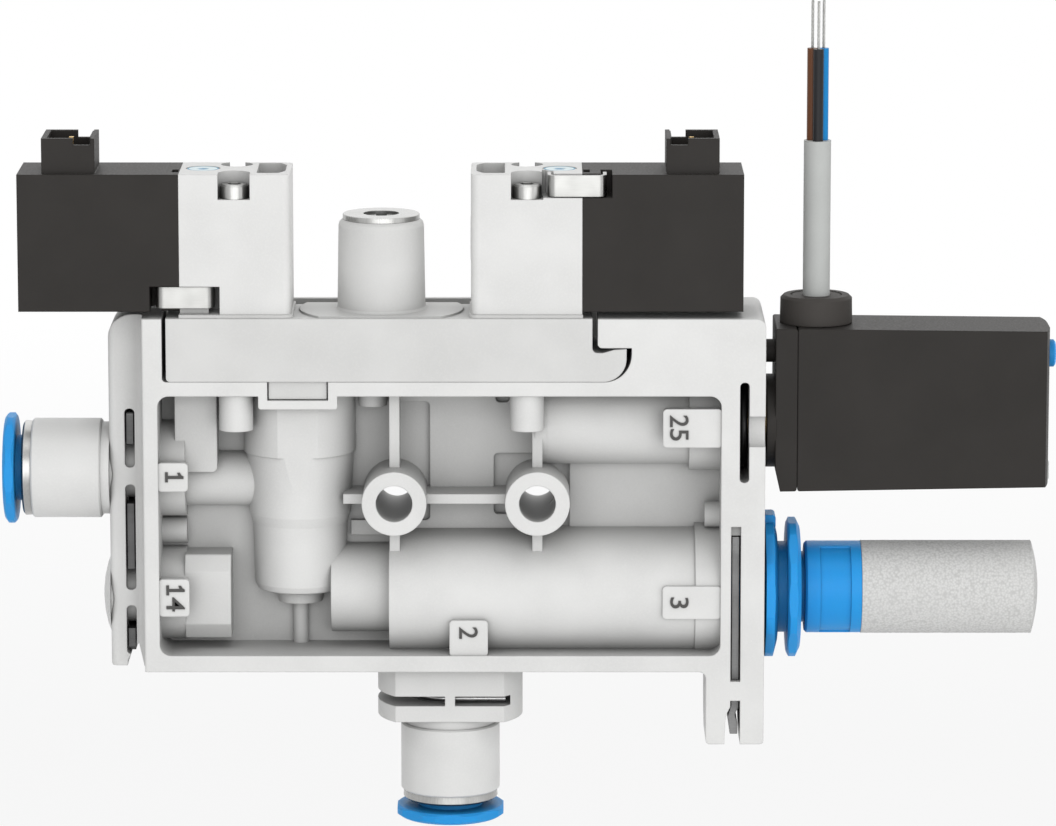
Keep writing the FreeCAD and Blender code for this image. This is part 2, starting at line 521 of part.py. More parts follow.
def solenoid_clip(side):
    """Flat strip bent round at both ends, hooked over the ears."""
    low, high = clip_recess_z(side)
    front, back = VALVE_FRONT + 0.18, VALVE_FRONT + 0.18 + CLIP_DEPTH
    outer = rounded([(CLIP_L, front), (CLIP_R, front), (CLIP_R, back), (CLIP_L, back)],
                    [1.0, 1.0, 0, 0], "xy", low, high)
    inner = rounded([(CLIP_L + CLIP_T, front + CLIP_T), (CLIP_R - CLIP_T, front + CLIP_T),
                     (CLIP_R - CLIP_T, back + 1), (CLIP_L + CLIP_T, back + 1)],
                    [0.6, 0.6, 0, 0], "xy", low - 1, high + 1)
    return placed(outer.cut(inner), side)


def valve_body(side):
    """Light body: rounded end, spool bore, screw pockets, override and D pocket."""
    outline = [(0, VALVE_FRONT), (BODY_LENGTH, VALVE_FRONT), (BODY_LENGTH, VALVE_BACK),
               (0, VALVE_BACK)]
    body = rounded(outline, [0, 0.9, 0.9, 0], "xy", VALVE_BOTTOM, VALVE_TOP)
    tools = [
        rod("x", SPOOL_BORE_R, -1, END_PLUG_L + 0.1, VALVE_Y, SPOOL_Z),
        rod("x", END_PLUG_R + SEAT, END_PLUG_L, BODY_LENGTH + 1, VALVE_Y, SPOOL_Z),
        rod("z", OVERRIDE_R + RUN, OVERRIDE_FLOOR, VALVE_TOP + 1, OVERRIDE_X, OVERRIDE_Y),
        rod("z", OVERRIDE_PIN_R + RUN, SPOOL_Z, OVERRIDE_FLOOR + 1, OVERRIDE_X, OVERRIDE_Y),
        clip_recess(side),
    ]
    for y in (SCREW_FRONT_Y, SCREW_BACK_Y):
        tools.append(rod("z", SCREW_R + SEAT, VALVE_BOTTOM - 1, VALVE_TOP + 1, SCREW_X, y))
        tools.append(rod("z", HEAD_POCKET_R, HEAD_Z, VALVE_TOP + 1, SCREW_X, y))
    tools.append(box(SCREW_X - HEAD_POCKET_R, SCREW_X + HEAD_POCKET_R, VALVE_FRONT - 1,
                     SCREW_FRONT_Y, HEAD_Z, VALVE_TOP + 1))
    near, far, front, back = BODY_LENGTH - 3.75, BODY_LENGTH - 0.6, VALVE_FRONT + 1.5, VALVE_BACK - 0.5
    pocket = [(near, front), (far - 0.75, front), (far, front + 1.6), (far, back - 1.6),
              (far - 0.75, back), (near, back)]
    tools.append(rounded(pocket, [0.3, 0.5, 0.8, 0.8, 0.5, 0.3], "xy", VALVE_TOP - 1.5,
                         VALVE_TOP + 1))
    for x in PORT_XS:
        tools.append(rod("z", DUCT_R, VALVE_BOTTOM - 1, SPOOL_Z, x, VALVE_Y))
    return placed(cut(body, tools), side)


def solenoid(side):
    """Black coil casing with the plug socket moulded on top."""
    left, sock = -SOLENOID_LENGTH, 0.6
    case = box(left, 0, VALVE_FRONT, VALVE_BACK, SOLENOID_BOTTOM, VALVE_TOP)
    socket = box(SOCKET_L, SOCKET_R, SOCKET_FRONT, SOCKET_BACK, VALVE_TOP - 0.5, SOCKET_TOP)
    body = case.fuse(socket)
    front_notch = box(SOCKET_L + 3.5, SOCKET_L + 5.45, SOCKET_FRONT - 1, SOCKET_FRONT + 1,
                      SOCKET_TOP - 0.75, SOCKET_TOP + 1)
    back_notch = box(SOCKET_L + 3.6, SOCKET_L + 5.4, SOCKET_BACK - 1, SOCKET_BACK + 1,
                     SOCKET_TOP - 0.8, SOCKET_TOP + 1)
    tools = [
        box(SOCKET_L + sock, SOCKET_R - sock, SOCKET_FRONT + sock, SOCKET_BACK - sock,
            VALVE_TOP - 1.5, SOCKET_TOP + 1),
        front_notch, back_notch,
        rod("x", COIL_R + SEAT, COIL_L - 0.3, COIL_END, VALVE_Y, SPOOL_Z),
        rod("x", COIL_BORE_R, COIL_END - 0.5, 1, VALVE_Y, SPOOL_Z),
        box(-0.85, -0.12, VALVE_FRONT + 2.1, VALVE_FRONT + 4.2, VALVE_TOP - 0.8, VALVE_TOP + 1),
        clip_recess(side),
    ]
    for y in PIN_YS:
        tools.append(box(PIN_X - 0.28, PIN_X + 0.28, y - 0.28, y + 0.28, PIN_BOTTOM - 0.05,
                         VALVE_TOP))
    return placed(cut(body, tools), side)


def plug_pins():
    """Two square contact pins in each plug socket."""
    pins = []
    for side in (-1, 1):
        for y in PIN_YS:
            pin = box(PIN_X - 0.25, PIN_X + 0.25, y - 0.25, y + 0.25, PIN_BOTTOM, SOCKET_TOP - 0.45)
            pins.append(placed(pin, side))
    return Part.makeCompound(pins)


def coil(side):
    """Potted winding with its fixed core at the far end of the bore."""
    profile = [(COIL_L, 0), (COIL_L, COIL_R), (COIL_END - 0.1, COIL_R), (COIL_END - 0.1, COIL_BORE_R),
               (COIL_CORE, COIL_BORE_R), (COIL_CORE, 0)]
    return placed(turned(profile, V(0, VALVE_Y, SPOOL_Z), (1, 0, 0)), side)


def armature(side):
    """Iron plunger, hollow at the core end for its spring."""
    r, start = COIL_BORE_R - RUN, COIL_CORE + ARMATURE_GAP
    profile = [(start, 1.35), (start, r), (ARMATURE_END, r), (ARMATURE_END, 0), (-7.5, 0),
               (-7.5, 1.35)]
    return placed(turned(profile, V(0, VALVE_Y, SPOOL_Z), (1, 0, 0)), side)


def armature_spring(side):
    """Return spring between core and plunger, as the sleeve its coils fill."""
    profile = [(COIL_CORE, 0.8), (COIL_CORE, 1.1), (-7.5, 1.1), (-7.5, 0.8)]
    return placed(turned(profile, V(0, VALVE_Y, SPOOL_Z), (1, 0, 0)), side)


def spool(side):
    """Valve spool with three lands."""
    land, waist, end = SPOOL_BORE_R - RUN, 1.0, END_PLUG_L - 1.25
    profile = [(ARMATURE_END, 0), (ARMATURE_END, waist)]
    for a, b in ((1.0, 2.2), (4.8, 6.0), (end - 1.2, end)):
        profile += [(a, waist), (a, land), (b, land), (b, waist)]
    profile[-1] = (end, 0)
    return placed(turned(profile, V(0, VALVE_Y, SPOOL_Z), (1, 0, 0)), side)


def end_plugs():
    """Round plugs that close the spool bores of both valves."""
    profile = [(END_PLUG_L, 0), (END_PLUG_L, END_PLUG_R), (BODY_LENGTH, END_PLUG_R),
               (BODY_LENGTH + 0.06, END_PLUG_R - 0.12), (BODY_LENGTH + 0.06, 0)]
    plug = turned(profile, V(0, VALVE_Y, SPOOL_Z), (1, 0, 0))
    return Part.makeCompound([placed(plug, -1), placed(plug, 1)])


def override(side):
    """Manual override button with a thin pin that reaches down to the spool."""
    top, tip, low = VALVE_TOP - 0.03, SPOOL_Z + 2.62, OVERRIDE_FLOOR + 0.65
    profile = [(tip, 0), (tip, OVERRIDE_PIN_R), (low, OVERRIDE_PIN_R), (low, OVERRIDE_R),
               (top - 0.08, OVERRIDE_R), (top, OVERRIDE_R - 0.08), (top, 0.7), (top - 0.25, 0.55),
               (top - 0.25, 0)]
    return placed(turned(profile, V(OVERRIDE_X, OVERRIDE_Y, 0), (0, 0, 1)), side)


def valve_seal(side):
    """Flat gasket under the valve body with port and screw holes."""
    lip = 0.22
    outline = [(-0.1, VALVE_FRONT - lip), (BODY_LENGTH + lip, VALVE_FRONT - lip),
               (BODY_LENGTH + lip, VALVE_BACK + lip), (-0.1, VALVE_BACK + lip)]
    seal = rounded(outline, [0.1, 1.0, 1.0, 0.1], "xy", PLATE_T, VALVE_BOTTOM)
    tools = [rod("z", SCREW_R + SEAT, PLATE_T - 1, VALVE_BOTTOM + 1, SCREW_X, y)
             for y in (SCREW_FRONT_Y, SCREW_BACK_Y)]
    tools += [rod("z", DUCT_R, PLATE_T - 1, VALVE_BOTTOM + 1, x, VALVE_Y) for x in PORT_XS]
    return placed(cut(seal, tools), side)


def valve_screws():
    """Four cap screws with hexagon sockets, two through each valve body."""
    screws = []
    for side in (-1, 1):
        for y in (SCREW_FRONT_Y, SCREW_BACK_Y):
            profile = [(SCREW_TIP, 0), (SCREW_TIP, SCREW_R - 0.2), (SCREW_TIP + 0.4, SCREW_R),
                       (HEAD_Z, SCREW_R), (HEAD_Z, HEAD_R), (HEAD_Z + HEAD_H - 0.2, HEAD_R),
                       (HEAD_Z + HEAD_H, HEAD_R - 0.2), (HEAD_Z + HEAD_H, 0)]
            screw = turned(profile, V(SCREW_X, y, 0), (0, 0, 1))
            key = [(SCREW_X + 0.85 * math.cos(math.radians(60 * i)),
                    y + 0.85 * math.sin(math.radians(60 * i))) for i in range(6)]
            hexagon = prism(key, "xy", HEAD_Z + HEAD_H - 0.9, HEAD_Z + HEAD_H + 1)
            screws.append(placed(screw.cut(hexagon), side))
    return Part.makeCompound(screws)


# Main chamber and ejector


def main_piston():
    """Poppet of the air valve: land on top, stem, head with soft face on the seat."""
    land = CHAMBER_BORE_R - RUN
    profile = [(-5.6, 0), (-5.6, 3.0), (-5.0, 3.3), (-3.2, 3.3), (-2.8, 1.5), (4.0, 1.5),
               (4.0, land), (10.0, land), (10.0, 2.4), (8.0, 2.4), (8.0, 0)]
    return turned(profile, V(CHAMBER_X, MID, 0), (0, 0, 1))


def piston_spring():
    """Closing spring of the poppet, as the sleeve its coils fill."""
    profile = [(8.0, 1.8), (8.0, 2.2), (PLATE_B, 2.2), (PLATE_B, 1.8)]
    return turned(profile, V(CHAMBER_X, MID, 0), (0, 0, 1))


def jet_nozzle():
    """Brass jet: coned inlet, fine throat, slim tip, groove for its ring."""
    r = JET_BORE_R - SEAT
    start = JET_BORE_L + 1.2
    profile = [(start, 2.4), (start, r), (-12.2, r), (-12.2, 3.3), (-11.2, 3.3), (-11.2, r),
               (-9.4, r), (-9.0, 2.2), (-4.4, 1.1), (-4.4, 0.55), (-6.0, 0.4), (-9.5, 1.4)]
    return turned(profile, V(0, MID, EXHAUST_Z), (1, 0, 0))


def receiver_nozzle():
    """Receiver: wide inlet, throat and long diffuser to the exhaust."""
    r = EJECTOR_BORE_R - SEAT
    profile = [(1.6, 2.6), (1.6, r - 0.6), (2.6, r), (12.0, r), (12.0, 3.4), (22.5, 3.4), (22.5, r),
               (EJECTOR_BORE_END - 0.4, r), (EJECTOR_BORE_END - 0.4, 2.3), (9.0, 0.95), (6.0, 0.9)]
    return turned(profile, V(0, MID, EXHAUST_Z), (1, 0, 0))


def vacuum_filter():
    """Sintered strainer disc on top of the vacuum port's plug."""
    top = COLLAR_B + PLUG_LENGTH + 1.15
    return rod("z", PLUG_R - 0.02, COLLAR_B + PLUG_LENGTH, top, VACUUM_X, MID)


# Push-in fittings: turned about u, which runs outwards from the seat


def fitting_body(origin, way):
    """Fitting shell: plug with clip and ring grooves, tube stop and claw chamber."""
    g0, g1 = -CLIP_AT - CLIP_GROOVE_W / 2, -CLIP_AT + CLIP_GROOVE_W / 2
    profile = [
        (-PLUG_LENGTH, PLUG_PASSAGE_R), (-PLUG_LENGTH, PLUG_R - 0.3), (-PLUG_LENGTH + 0.3, PLUG_R),
        (-7.1, PLUG_R), (-7.1, 3.1), (-5.9, 3.1), (-5.9, PLUG_R), (g0, PLUG_R),
        (g0, CLIP_GROOVE_R), (g1, CLIP_GROOVE_R), (g1, PLUG_R), (0, PLUG_R), (0, 5.2), (0.98, 5.2),
        (0.98, 5.4), (1.15, 5.6), (8.6, 5.6), (8.8, 5.4), (8.8, 4.62), (5.45, 4.62), (5.45, 4.3),
        (3.6, 4.3), (3.6, TUBE_R), (1.5, TUBE_R), (1.5, PLUG_PASSAGE_R),
    ]
    return turned(profile, origin, way)


def fitting_seal(origin, way):
    """Lip seal that grips the tube."""
    profile = [(3.65, TUBE_R + 0.02), (3.65, 4.27), (5.4, 4.27), (5.4, 3.5), (4.6, 3.3),
               (4.4, TUBE_R + 0.02)]
    return turned(profile, origin, way)


def plug_seals():
    """Rubber rings in the grooves of both fittings and the blanking plug."""
    profile = [(-7.05, 3.12), (-7.05, 3.9), (-6.85, PLUG_R + 0.03), (-6.15, PLUG_R + 0.03),
               (-5.95, 3.9), (-5.95, 3.12)]
    return Part.makeCompound([turned(profile, *place) for place in (SUPPLY, VACUUM, BLANK)])


def grip_ring(origin, way):
    """Metal cap and sleeve that carry the claws behind an inner lip."""
    profile = [(5.5, 4.3), (5.5, 4.6), (8.8, 4.6), (8.8, 5.3), (9.6, 5.35), (9.82, 5.1),
               (9.86, 4.0), (8.4, 4.0), (8.4, 4.3)]
    return turned(profile, origin, way)


def release_ring(origin, way):
    """Push-to-release sleeve with barbs inside and an eight-sided flange outside."""
    profile = [(6.2, TUBE_R), (6.2, 3.95), (6.5, 4.12), (7.2, 4.12), (7.5, 3.7), (10.6, 3.7),
               (10.6, 5.9), (10.85, 6.25), (11.5, 6.25), (11.86, 5.75), (11.86, 3.5),
               (11.45, TUBE_R)]
    ring = turned(profile, origin, way)
    return flatted(ring, origin, way, 6.02, 10.0, 12.5)


def flatted(ring, origin, way, apothem, start, end):
    """Cuts eight slight flats on a flange between two places along its axis."""
    way = V(way)
    side = V(0, 1, 0) if abs(way.y) < 0.5 else V(1, 0, 0)
    other = way.cross(side)
    r = apothem / math.cos(math.pi / 8)
    points = []
    for i in range(8):
        a = math.pi / 8 + i * math.pi / 4
        points.append(V(origin) + way * start + side * (r * math.cos(a)) + other * (r * math.sin(a)))
    octagon = Part.Face(Part.makePolygon(points + points[:1])).extrude(way * (end - start))
    hull = Part.makeCylinder(r + 1, end - start, V(origin) + way * start, way)
    return ring.cut(hull.cut(octagon))


def blanking_plug():
    """Domed plug of the unused port with clip and ring grooves."""
    g0, g1 = CLIP_AT - CLIP_GROOVE_W / 2, CLIP_AT + CLIP_GROOVE_W / 2
    dome = [(-0.95, 0), (-0.93, 0.9), (-0.78, 2.2), (-0.45, 3.6), (0, 4.7)]
    profile = dome + [
        (0, PLUG_R), (g0, PLUG_R), (g0, CLIP_GROOVE_R), (g1, CLIP_GROOVE_R), (g1, PLUG_R),
        (5.9, PLUG_R), (5.9, 3.1), (7.1, 3.1), (7.1, PLUG_R), (PLUG_LENGTH, PLUG_R), (PLUG_LENGTH, 0),
    ]
    return turned(profile, V(FLANGE_L, MID, BLANK_Z), (1, 0, 0))


# Clips


def port_clip():
    """Three-legged sheet clip that holds the fitting and the blanking plug."""
    x0 = SLOT_X - FLANGE_CLIP_T / 2
    low, high, spine, tip = -17.55, 9.9, -4.85, -11.6
    sheet = rounded([(spine + 1.1, low), (spine + 1.1, high), (tip, high), (tip, low)],
                    [0.4, 0.4, 0.5, 0.5], "yz", x0, x0 + FLANGE_CLIP_T)
    mouth = CLIP_GROOVE_R + 0.05
    tools = []
    for z in (SUPPLY_Z, BLANK_Z):
        tools.append(box(x0 - 1, x0 + 2, tip - 1, MID, z - mouth, z + mouth))
        tools.append(rod("x", mouth, x0 - 1, x0 + 2, MID, z))
    return cut(sheet, tools)


def exhaust_clip():
    """Sheet fork that straddles the exhaust sleeve, its foot waved and bare below."""
    x0, x1 = LEG_SLOT_X - LEG_CLIP_T / 2, LEG_SLOT_X + LEG_CLIP_T / 2
    top, yoke, foot = LEG_WINDOW_T - 1.35, BOTTOM + 0.4, -26.55
    wave = [(x0, top), (x1, top), (x1, -23.5), (x1 - 0.43, -24.3), (x1 - 0.1, -25.3),
            (x1 - 0.1, foot), (x0 - 0.15, foot), (x0 - 0.28, -25.5), (x0 - 0.4, -24.6), (x0, -23.2)]
    sheet = rounded(wave, [0, 0, 0.4, 0.5, 0.4, 0.05, 0.05, 0.4, 0.6, 0.5], "xz",
                    FRONT + 1.1, -1.1)
    mouth = EXHAUST_GROOVE_R + 0.06
    tools = [
        box(x0 - 2, x1 + 2, MID - mouth, MID + mouth, EXHAUST_Z, 0),
        rod("x", mouth, x0 - 2, x1 + 2, MID, EXHAUST_Z),
        box(x0 - 2, x1 + 2, LEG_BACK - 1.1, 0, foot - 1, yoke),
    ]
    return cut(sheet, tools)


def sensor_clip():
    """Round-edged snap ring on the sensor's nipple, open towards the rear."""
    half, rim = 0.42, 5.3
    x = SENSOR_SLOT_X
    profile = [(-half, NIPPLE_GROOVE_R + 0.05), (-half, rim - 0.35), (-half * 0.55, rim - 0.07),
               (0, rim), (half * 0.55, rim - 0.07), (half, rim - 0.35),
               (half, NIPPLE_GROOVE_R + 0.05)]
    ring = turned(profile, V(x, MID, SENSOR_Z), (1, 0, 0))
    return ring.cut(box(x - 1, x + 1, MID, MID + 8, SENSOR_Z - 2.2, SENSOR_Z + 2.2))


def vacuum_clip():
    """Wire clip bent round the groove of the vacuum fitting."""
    r = CLIP_GROOVE_R + WIRE_R + 0.03
    bend = Part.makeTorus(r, WIRE_R, V(VACUUM_X, MID, WIRE_Z), V(0, 0, 1))
    half = bend.common(box(VACUUM_X - 6, VACUUM_X, MID - 6, MID + 6, WIRE_Z - 1, WIRE_Z + 1))
    legs = [rod("x", WIRE_R, VACUUM_X, 4.4, MID + side * r, WIRE_Z) for side in (-1, 1)]
    return half.multiFuse(legs).removeSplitter()


# Exhaust and silencer


def exhaust_ring():
    """Exhaust cartridge: flange with a tab, sleeve with a clip groove in the housing."""
    g = EXHAUST_GROOVE_R
    outer, start, step, lip = EXHAUST_BORE_R - 0.06, EXHAUST_BORE_L + 0.4, RIGHT - 2.0, 4.4
    profile = [(start, 4.9), (start, outer), (LEG_SLOT_X - 0.5, outer), (LEG_SLOT_X - 0.5, g),
               (LEG_SLOT_X + 0.5, g), (LEG_SLOT_X + 0.5, outer), (RING1_L, outer),
               (RING1_L, RING_R), (RING1_R - 0.44, RING_R), (RING1_R - 0.12, RING_R - 1.2),
               (RING1_R, 6.2), (RING1_R, SLEEVE_STEP_R), (step, SLEEVE_STEP_R), (step, lip),
               (start + 1.9, lip), (start + 1.9, 4.9)]
    ring = turned(profile, V(0, MID, EXHAUST_Z), (1, 0, 0))
    ring = flatted(ring, V(0, MID, EXHAUST_Z), (1, 0, 0), RING_FLATS, RING1_L - 0.5, RING1_R + 0.5)
    tab = rounded([(RING1_L, EXHAUST_Z + 7.2), (RING1_L + 1.2, EXHAUST_Z + 7.2),
                   (RING1_L + 1.2, EXHAUST_Z + 8.55), (RING1_L, EXHAUST_Z + 8.55)],
                  [0, 0, 0.4, 0.1], "xz", MID - 1.6, MID + 1.6)
    return ring.fuse(tab)


def exhaust_release():
    """Push-to-release sleeve of the exhaust, flange outside."""
    start, sleeve = RIGHT - 1.0, SLEEVE_R - 0.1
    profile = [(start, STEM_R + 0.06), (start, sleeve - 0.25), (start + 0.5, sleeve - 0.1),
               (RING1_R + 0.25, sleeve), (RING2_L, sleeve), (RING2_L, RING_R - 0.5), (RING2_L + 0.25, RING_R),
               (RING2_L + 1.0, RING_R), (RING2_R, RING_R - 1.0), (RING2_R, STEM_R + 0.06)]
    ring = turned(profile, V(0, MID, EXHAUST_Z), (1, 0, 0))
    return flatted(ring, V(0, MID, EXHAUST_Z), (1, 0, 0), RING_FLATS, RING2_L - 0.5, RING2_R + 0.5)


def silencer_plug():
    """Stem and collar of the silencer with a shallow bare panel on the collar."""
    tip, socket, bore = EXHAUST_BORE_L + 1.0, SILENCER_JOINT - SPIGOT_LENGTH, 2.4
    profile = [(tip, bore), (tip, STEM_R - 0.3), (tip + 0.4, STEM_R), (SILENCER_L, STEM_R),
               (SILENCER_L, SILENCER_COLLAR_R - 0.25), (SILENCER_L + 0.25, SILENCER_COLLAR_R),
               (SILENCER_JOINT, SILENCER_COLLAR_R), (SILENCER_JOINT, SPIGOT_R),
               (socket, SPIGOT_R), (socket, bore)]
    body = turned(profile, V(0, MID, EXHAUST_Z), (1, 0, 0))
    deep, reach = 0.2, SILENCER_COLLAR_R + 1
    left, right = SILENCER_L + 1.7, SILENCER_JOINT - 1.2
    skin = rod("x", reach, left, right, MID, EXHAUST_Z)
    skin = skin.cut(rod("x", SILENCER_COLLAR_R - deep, left, right, MID, EXHAUST_Z))
    window = box(left, right, MID - reach, MID - 1.6, EXHAUST_Z - reach, EXHAUST_Z + reach)
    return body.cut(skin.common(window))


def silencer_element():
    """Porous sound absorber with a slightly domed end, open core inside."""
    e, spigot = SILENCER_R, SILENCER_JOINT - SPIGOT_LENGTH + 0.1
    profile = [(spigot, 2.4), (spigot, SPIGOT_R - 0.05), (SILENCER_JOINT + 0.02, SPIGOT_R - 0.05),
               (SILENCER_JOINT + 0.02, SILENCER_ROD_R), (e - 0.4, SILENCER_ROD_R),
               (e, SILENCER_ROD_R - 0.35), (e + 0.45, 3.6), (e + 0.7, 1.8), (e + 0.76, 0),
               (e - 2.5, 0), (e - 2.5, 2.4)]
    return turned(profile, V(0, MID, EXHAUST_Z), (1, 0, 0))


# Sensor


def sensor_wedge(x0, x1, right_round):
    """Sensor block whose top and bottom close slightly towards the right."""
    span = SENSOR_R - BASE_R

    def z_at(x, a, b):
        return a + (b - a) * (x - BASE_R) / span

    side = [(x0, z_at(x0, SENSOR_BOT_L, SENSOR_BOT_R)), (x1, z_at(x1, SENSOR_BOT_L, SENSOR_BOT_R)),
            (x1, z_at(x1, SENSOR_TOP_L, SENSOR_TOP_R)), (x0, z_at(x0, SENSOR_TOP_L, SENSOR_TOP_R))]
    block = rounded(side, [0.25, 0.3, 0.3, 0.25], "xz", SENSOR_FRONT, SENSOR_BACK)
    if not right_round:
        return block
    bulge = 0.65
    plan = Part.Wire([
        Part.makeLine(V(x0 - 1, SENSOR_FRONT - 1, 0), V(x1 - bulge, SENSOR_FRONT - 1, 0)),
        Part.makeLine(V(x1 - bulge, SENSOR_FRONT - 1, 0), V(x1 - bulge, SENSOR_FRONT, 0)),
        Part.Arc(V(x1 - bulge, SENSOR_FRONT, 0), V(x1, MID, 0), V(x1 - bulge, SENSOR_BACK, 0)).toShape(),
        Part.makeLine(V(x1 - bulge, SENSOR_BACK, 0), V(x1 - bulge, SENSOR_BACK + 1, 0)),
        Part.makeLine(V(x1 - bulge, SENSOR_BACK + 1, 0), V(x0 - 1, SENSOR_BACK + 1, 0)),
        Part.makeLine(V(x0 - 1, SENSOR_BACK + 1, 0), V(x0 - 1, SENSOR_FRONT - 1, 0)),
    ])
    return block.common(Part.Face(plan).extrude(V(0, 0, 30)))


def sensor_base():
    """Back part of the sensor: nipple boss, locating post, pocket for the nipple."""
    block = sensor_wedge(BASE_L, BASE_R - 0.06, False)
    corner = prism([(BASE_L - 1, 0), (BASE_L + 0.75, 0), (BASE_L - 0.02, 3.4), (BASE_L - 1, 3.4)],
                   "xz", SENSOR_FRONT - 1, SENSOR_BACK + 1)
    disc = rod("x", 5.25, RIGHT + 0.3, BASE_L + 0.1, MID, SENSOR_Z)
    post = rod("x", POST_R, RIGHT - 1.3, BASE_L + 0.1, -9.0, POST_Z)
    body = fused([block.cut(corner), disc, post])
    pocket = box(BASE_L + 0.7, BASE_R + 1, SENSOR_FRONT + SENSOR_WALL, SENSOR_BACK - SENSOR_WALL,
                 ROOM_B, ROOM_T)
    hole = rod("x", NIPPLE_R - 0.6 + SEAT, RIGHT, BASE_R, MID, SENSOR_Z)
    return cut(body, [pocket, hole])


def sensor_port():
    """Nipple between housing and sensor with its clip groove and bore."""
    r = NIPPLE_R
    x = SENSOR_SLOT_X
    profile = [(NIPPLE_END, 0.7), (NIPPLE_END, r - 0.3), (NIPPLE_END + 0.3, r), (26.0, r),
               (26.0, 2.3), (27.2, 2.3), (27.2, r), (x - 0.47, r), (x - 0.47, NIPPLE_GROOVE_R),
               (x + 0.47, NIPPLE_GROOVE_R), (x + 0.47, r), (RIGHT + 0.2, r), (RIGHT + 0.2, r - 0.6),
               (BASE_L + 1.2, r - 0.6), (BASE_L + 1.2, 0.7)]
    return turned(profile, V(0, MID, SENSOR_Z), (1, 0, 0))


def sensor_housing():
    """Black sensor case: rounded control end, board room, gland hole on top."""
    block = sensor_wedge(BASE_R, SENSOR_R, True)
    end = SENSOR_R - CONTROL_WALL
    room = box(BASE_R - 1, end, SENSOR_FRONT + SENSOR_WALL, SENSOR_BACK - SENSOR_WALL, ROOM_B, ROOM_T)
    tools = [
        room,
        rod("z", GLAND_STEM_R + SEAT, ROOM_T - 1, GLAND_TOP, GLAND_X, MID),
        rod("x", BUTTON_R + RUN, end - 1, SENSOR_R + 1, MID, BUTTON_Z),
        box(end - 1, SENSOR_R + 1, LAMP_Y0, LAMP_Y1, LAMP_Z0, LAMP_Z1),
    ]
    return cut(block, tools)


def sensor_button():
    """Blue set button, flange inside, cap outside the control end."""
    top, wall, flange = SENSOR_R + 0.68, SENSOR_R - CONTROL_WALL, BUTTON_R + 0.5
    profile = [(wall - 0.9, 0), (wall - 0.9, flange), (wall - 0.35, flange),
               (wall - 0.35, BUTTON_R), (top - 0.2, BUTTON_R), (top, BUTTON_R - 0.25), (top, 0)]
    return turned(profile, V(0, MID, BUTTON_Z), (1, 0, 0))


def status_lamp():
    """Clear light guide in the control end."""
    gap = 0.03
    return box(SENSOR_R - CONTROL_WALL - 0.5, SENSOR_R - 0.05, LAMP_Y0 + gap, LAMP_Y1 - gap, LAMP_Z0 + gap,
               LAMP_Z1 - gap)


def sensor_board():
    """Circuit board with the pressure cell on the nipple side and a chip."""
    front, back = MID + 1.0, MID + 2.2
    board = box(BASE_R + 1.6, SENSOR_R - 5.5, front, back, ROOM_B + 0.8, ROOM_T - 1.2)
    cell = box(BASE_R + 2.2, BASE_R + 6.9, front - 2.6, front + 0.1, SENSOR_Z - 2.5, SENSOR_Z + 2.5)
    chip = box(BASE_R + 10.9, BASE_R + 15.4, front - 1.1, front + 0.1, SENSOR_Z, SENSOR_Z + 4.5)
    return fused([board, cell, chip])


def cable_gland():
    """Round gland on the sensor's top with a sunk ring round the cable."""
    foot, low = GLAND_FOOT, ROOM_T - 0.6
    profile = [(low, JACKET_R + 0.03), (low, GLAND_STEM_R), (foot, GLAND_STEM_R), (foot, GLAND_R),
               (GLAND_TOP - 0.35, GLAND_R - 0.05), (GLAND_TOP, GLAND_R - 0.4), (GLAND_TOP, 2.9),
               (GLAND_TOP - 0.5, 2.85), (GLAND_TOP - 0.5, JACKET_R + 0.03)]
    return turned(profile, V(GLAND_X, MID, 0), (0, 0, 1))


def core_places():
    """Centres of the three cores: black in front, brown and blue behind."""
    return [(GLAND_X + CORE_RING * math.sin(math.radians(a)), MID - CORE_RING * math.cos(math.radians(a)))
            for a in (0, -120, 120)]


def cable_jacket():
    """Cut-off sleeve of the sensor cable with a hole for each core."""
    body = rod("z", JACKET_R, JACKET_BOTTOM, JACKET_TOP, GLAND_X, MID)
    holes = [rod("z", CORE_R + 0.01, JACKET_BOTTOM - 1, JACKET_TOP + 1, x, y)
             for x, y in core_places()]
    return cut(body, holes)


def cable_core(index):
    """One insulated core from inside the sensor to its stripped end."""
    x, y = core_places()[index]
    body = rod("z", CORE_R, CORE_BOTTOM, CORE_TOP, x, y)
    return body.cut(rod("z", 0.33, CORE_TOP - 1.5, CORE_TOP + 1, x, y))


def cable_strands():
    """Bare wire bundles in the stripped ends of the cores."""
    solids = []
    for x, y in core_places():
        solids.append(rod("z", 0.32, CORE_TOP - 1.45, STRAND_TOP, x, y))
    return Part.makeCompound(solids)


# Seats of the plugged pieces: point on the axis and the way out

SUPPLY = (V(FLANGE_L, MID, SUPPLY_Z), (-1, 0, 0))
VACUUM = (V(VACUUM_X, MID, COLLAR_B), (0, 0, -1))
BLANK = (V(FLANGE_L, MID, BLANK_Z), (-1, 0, 0))


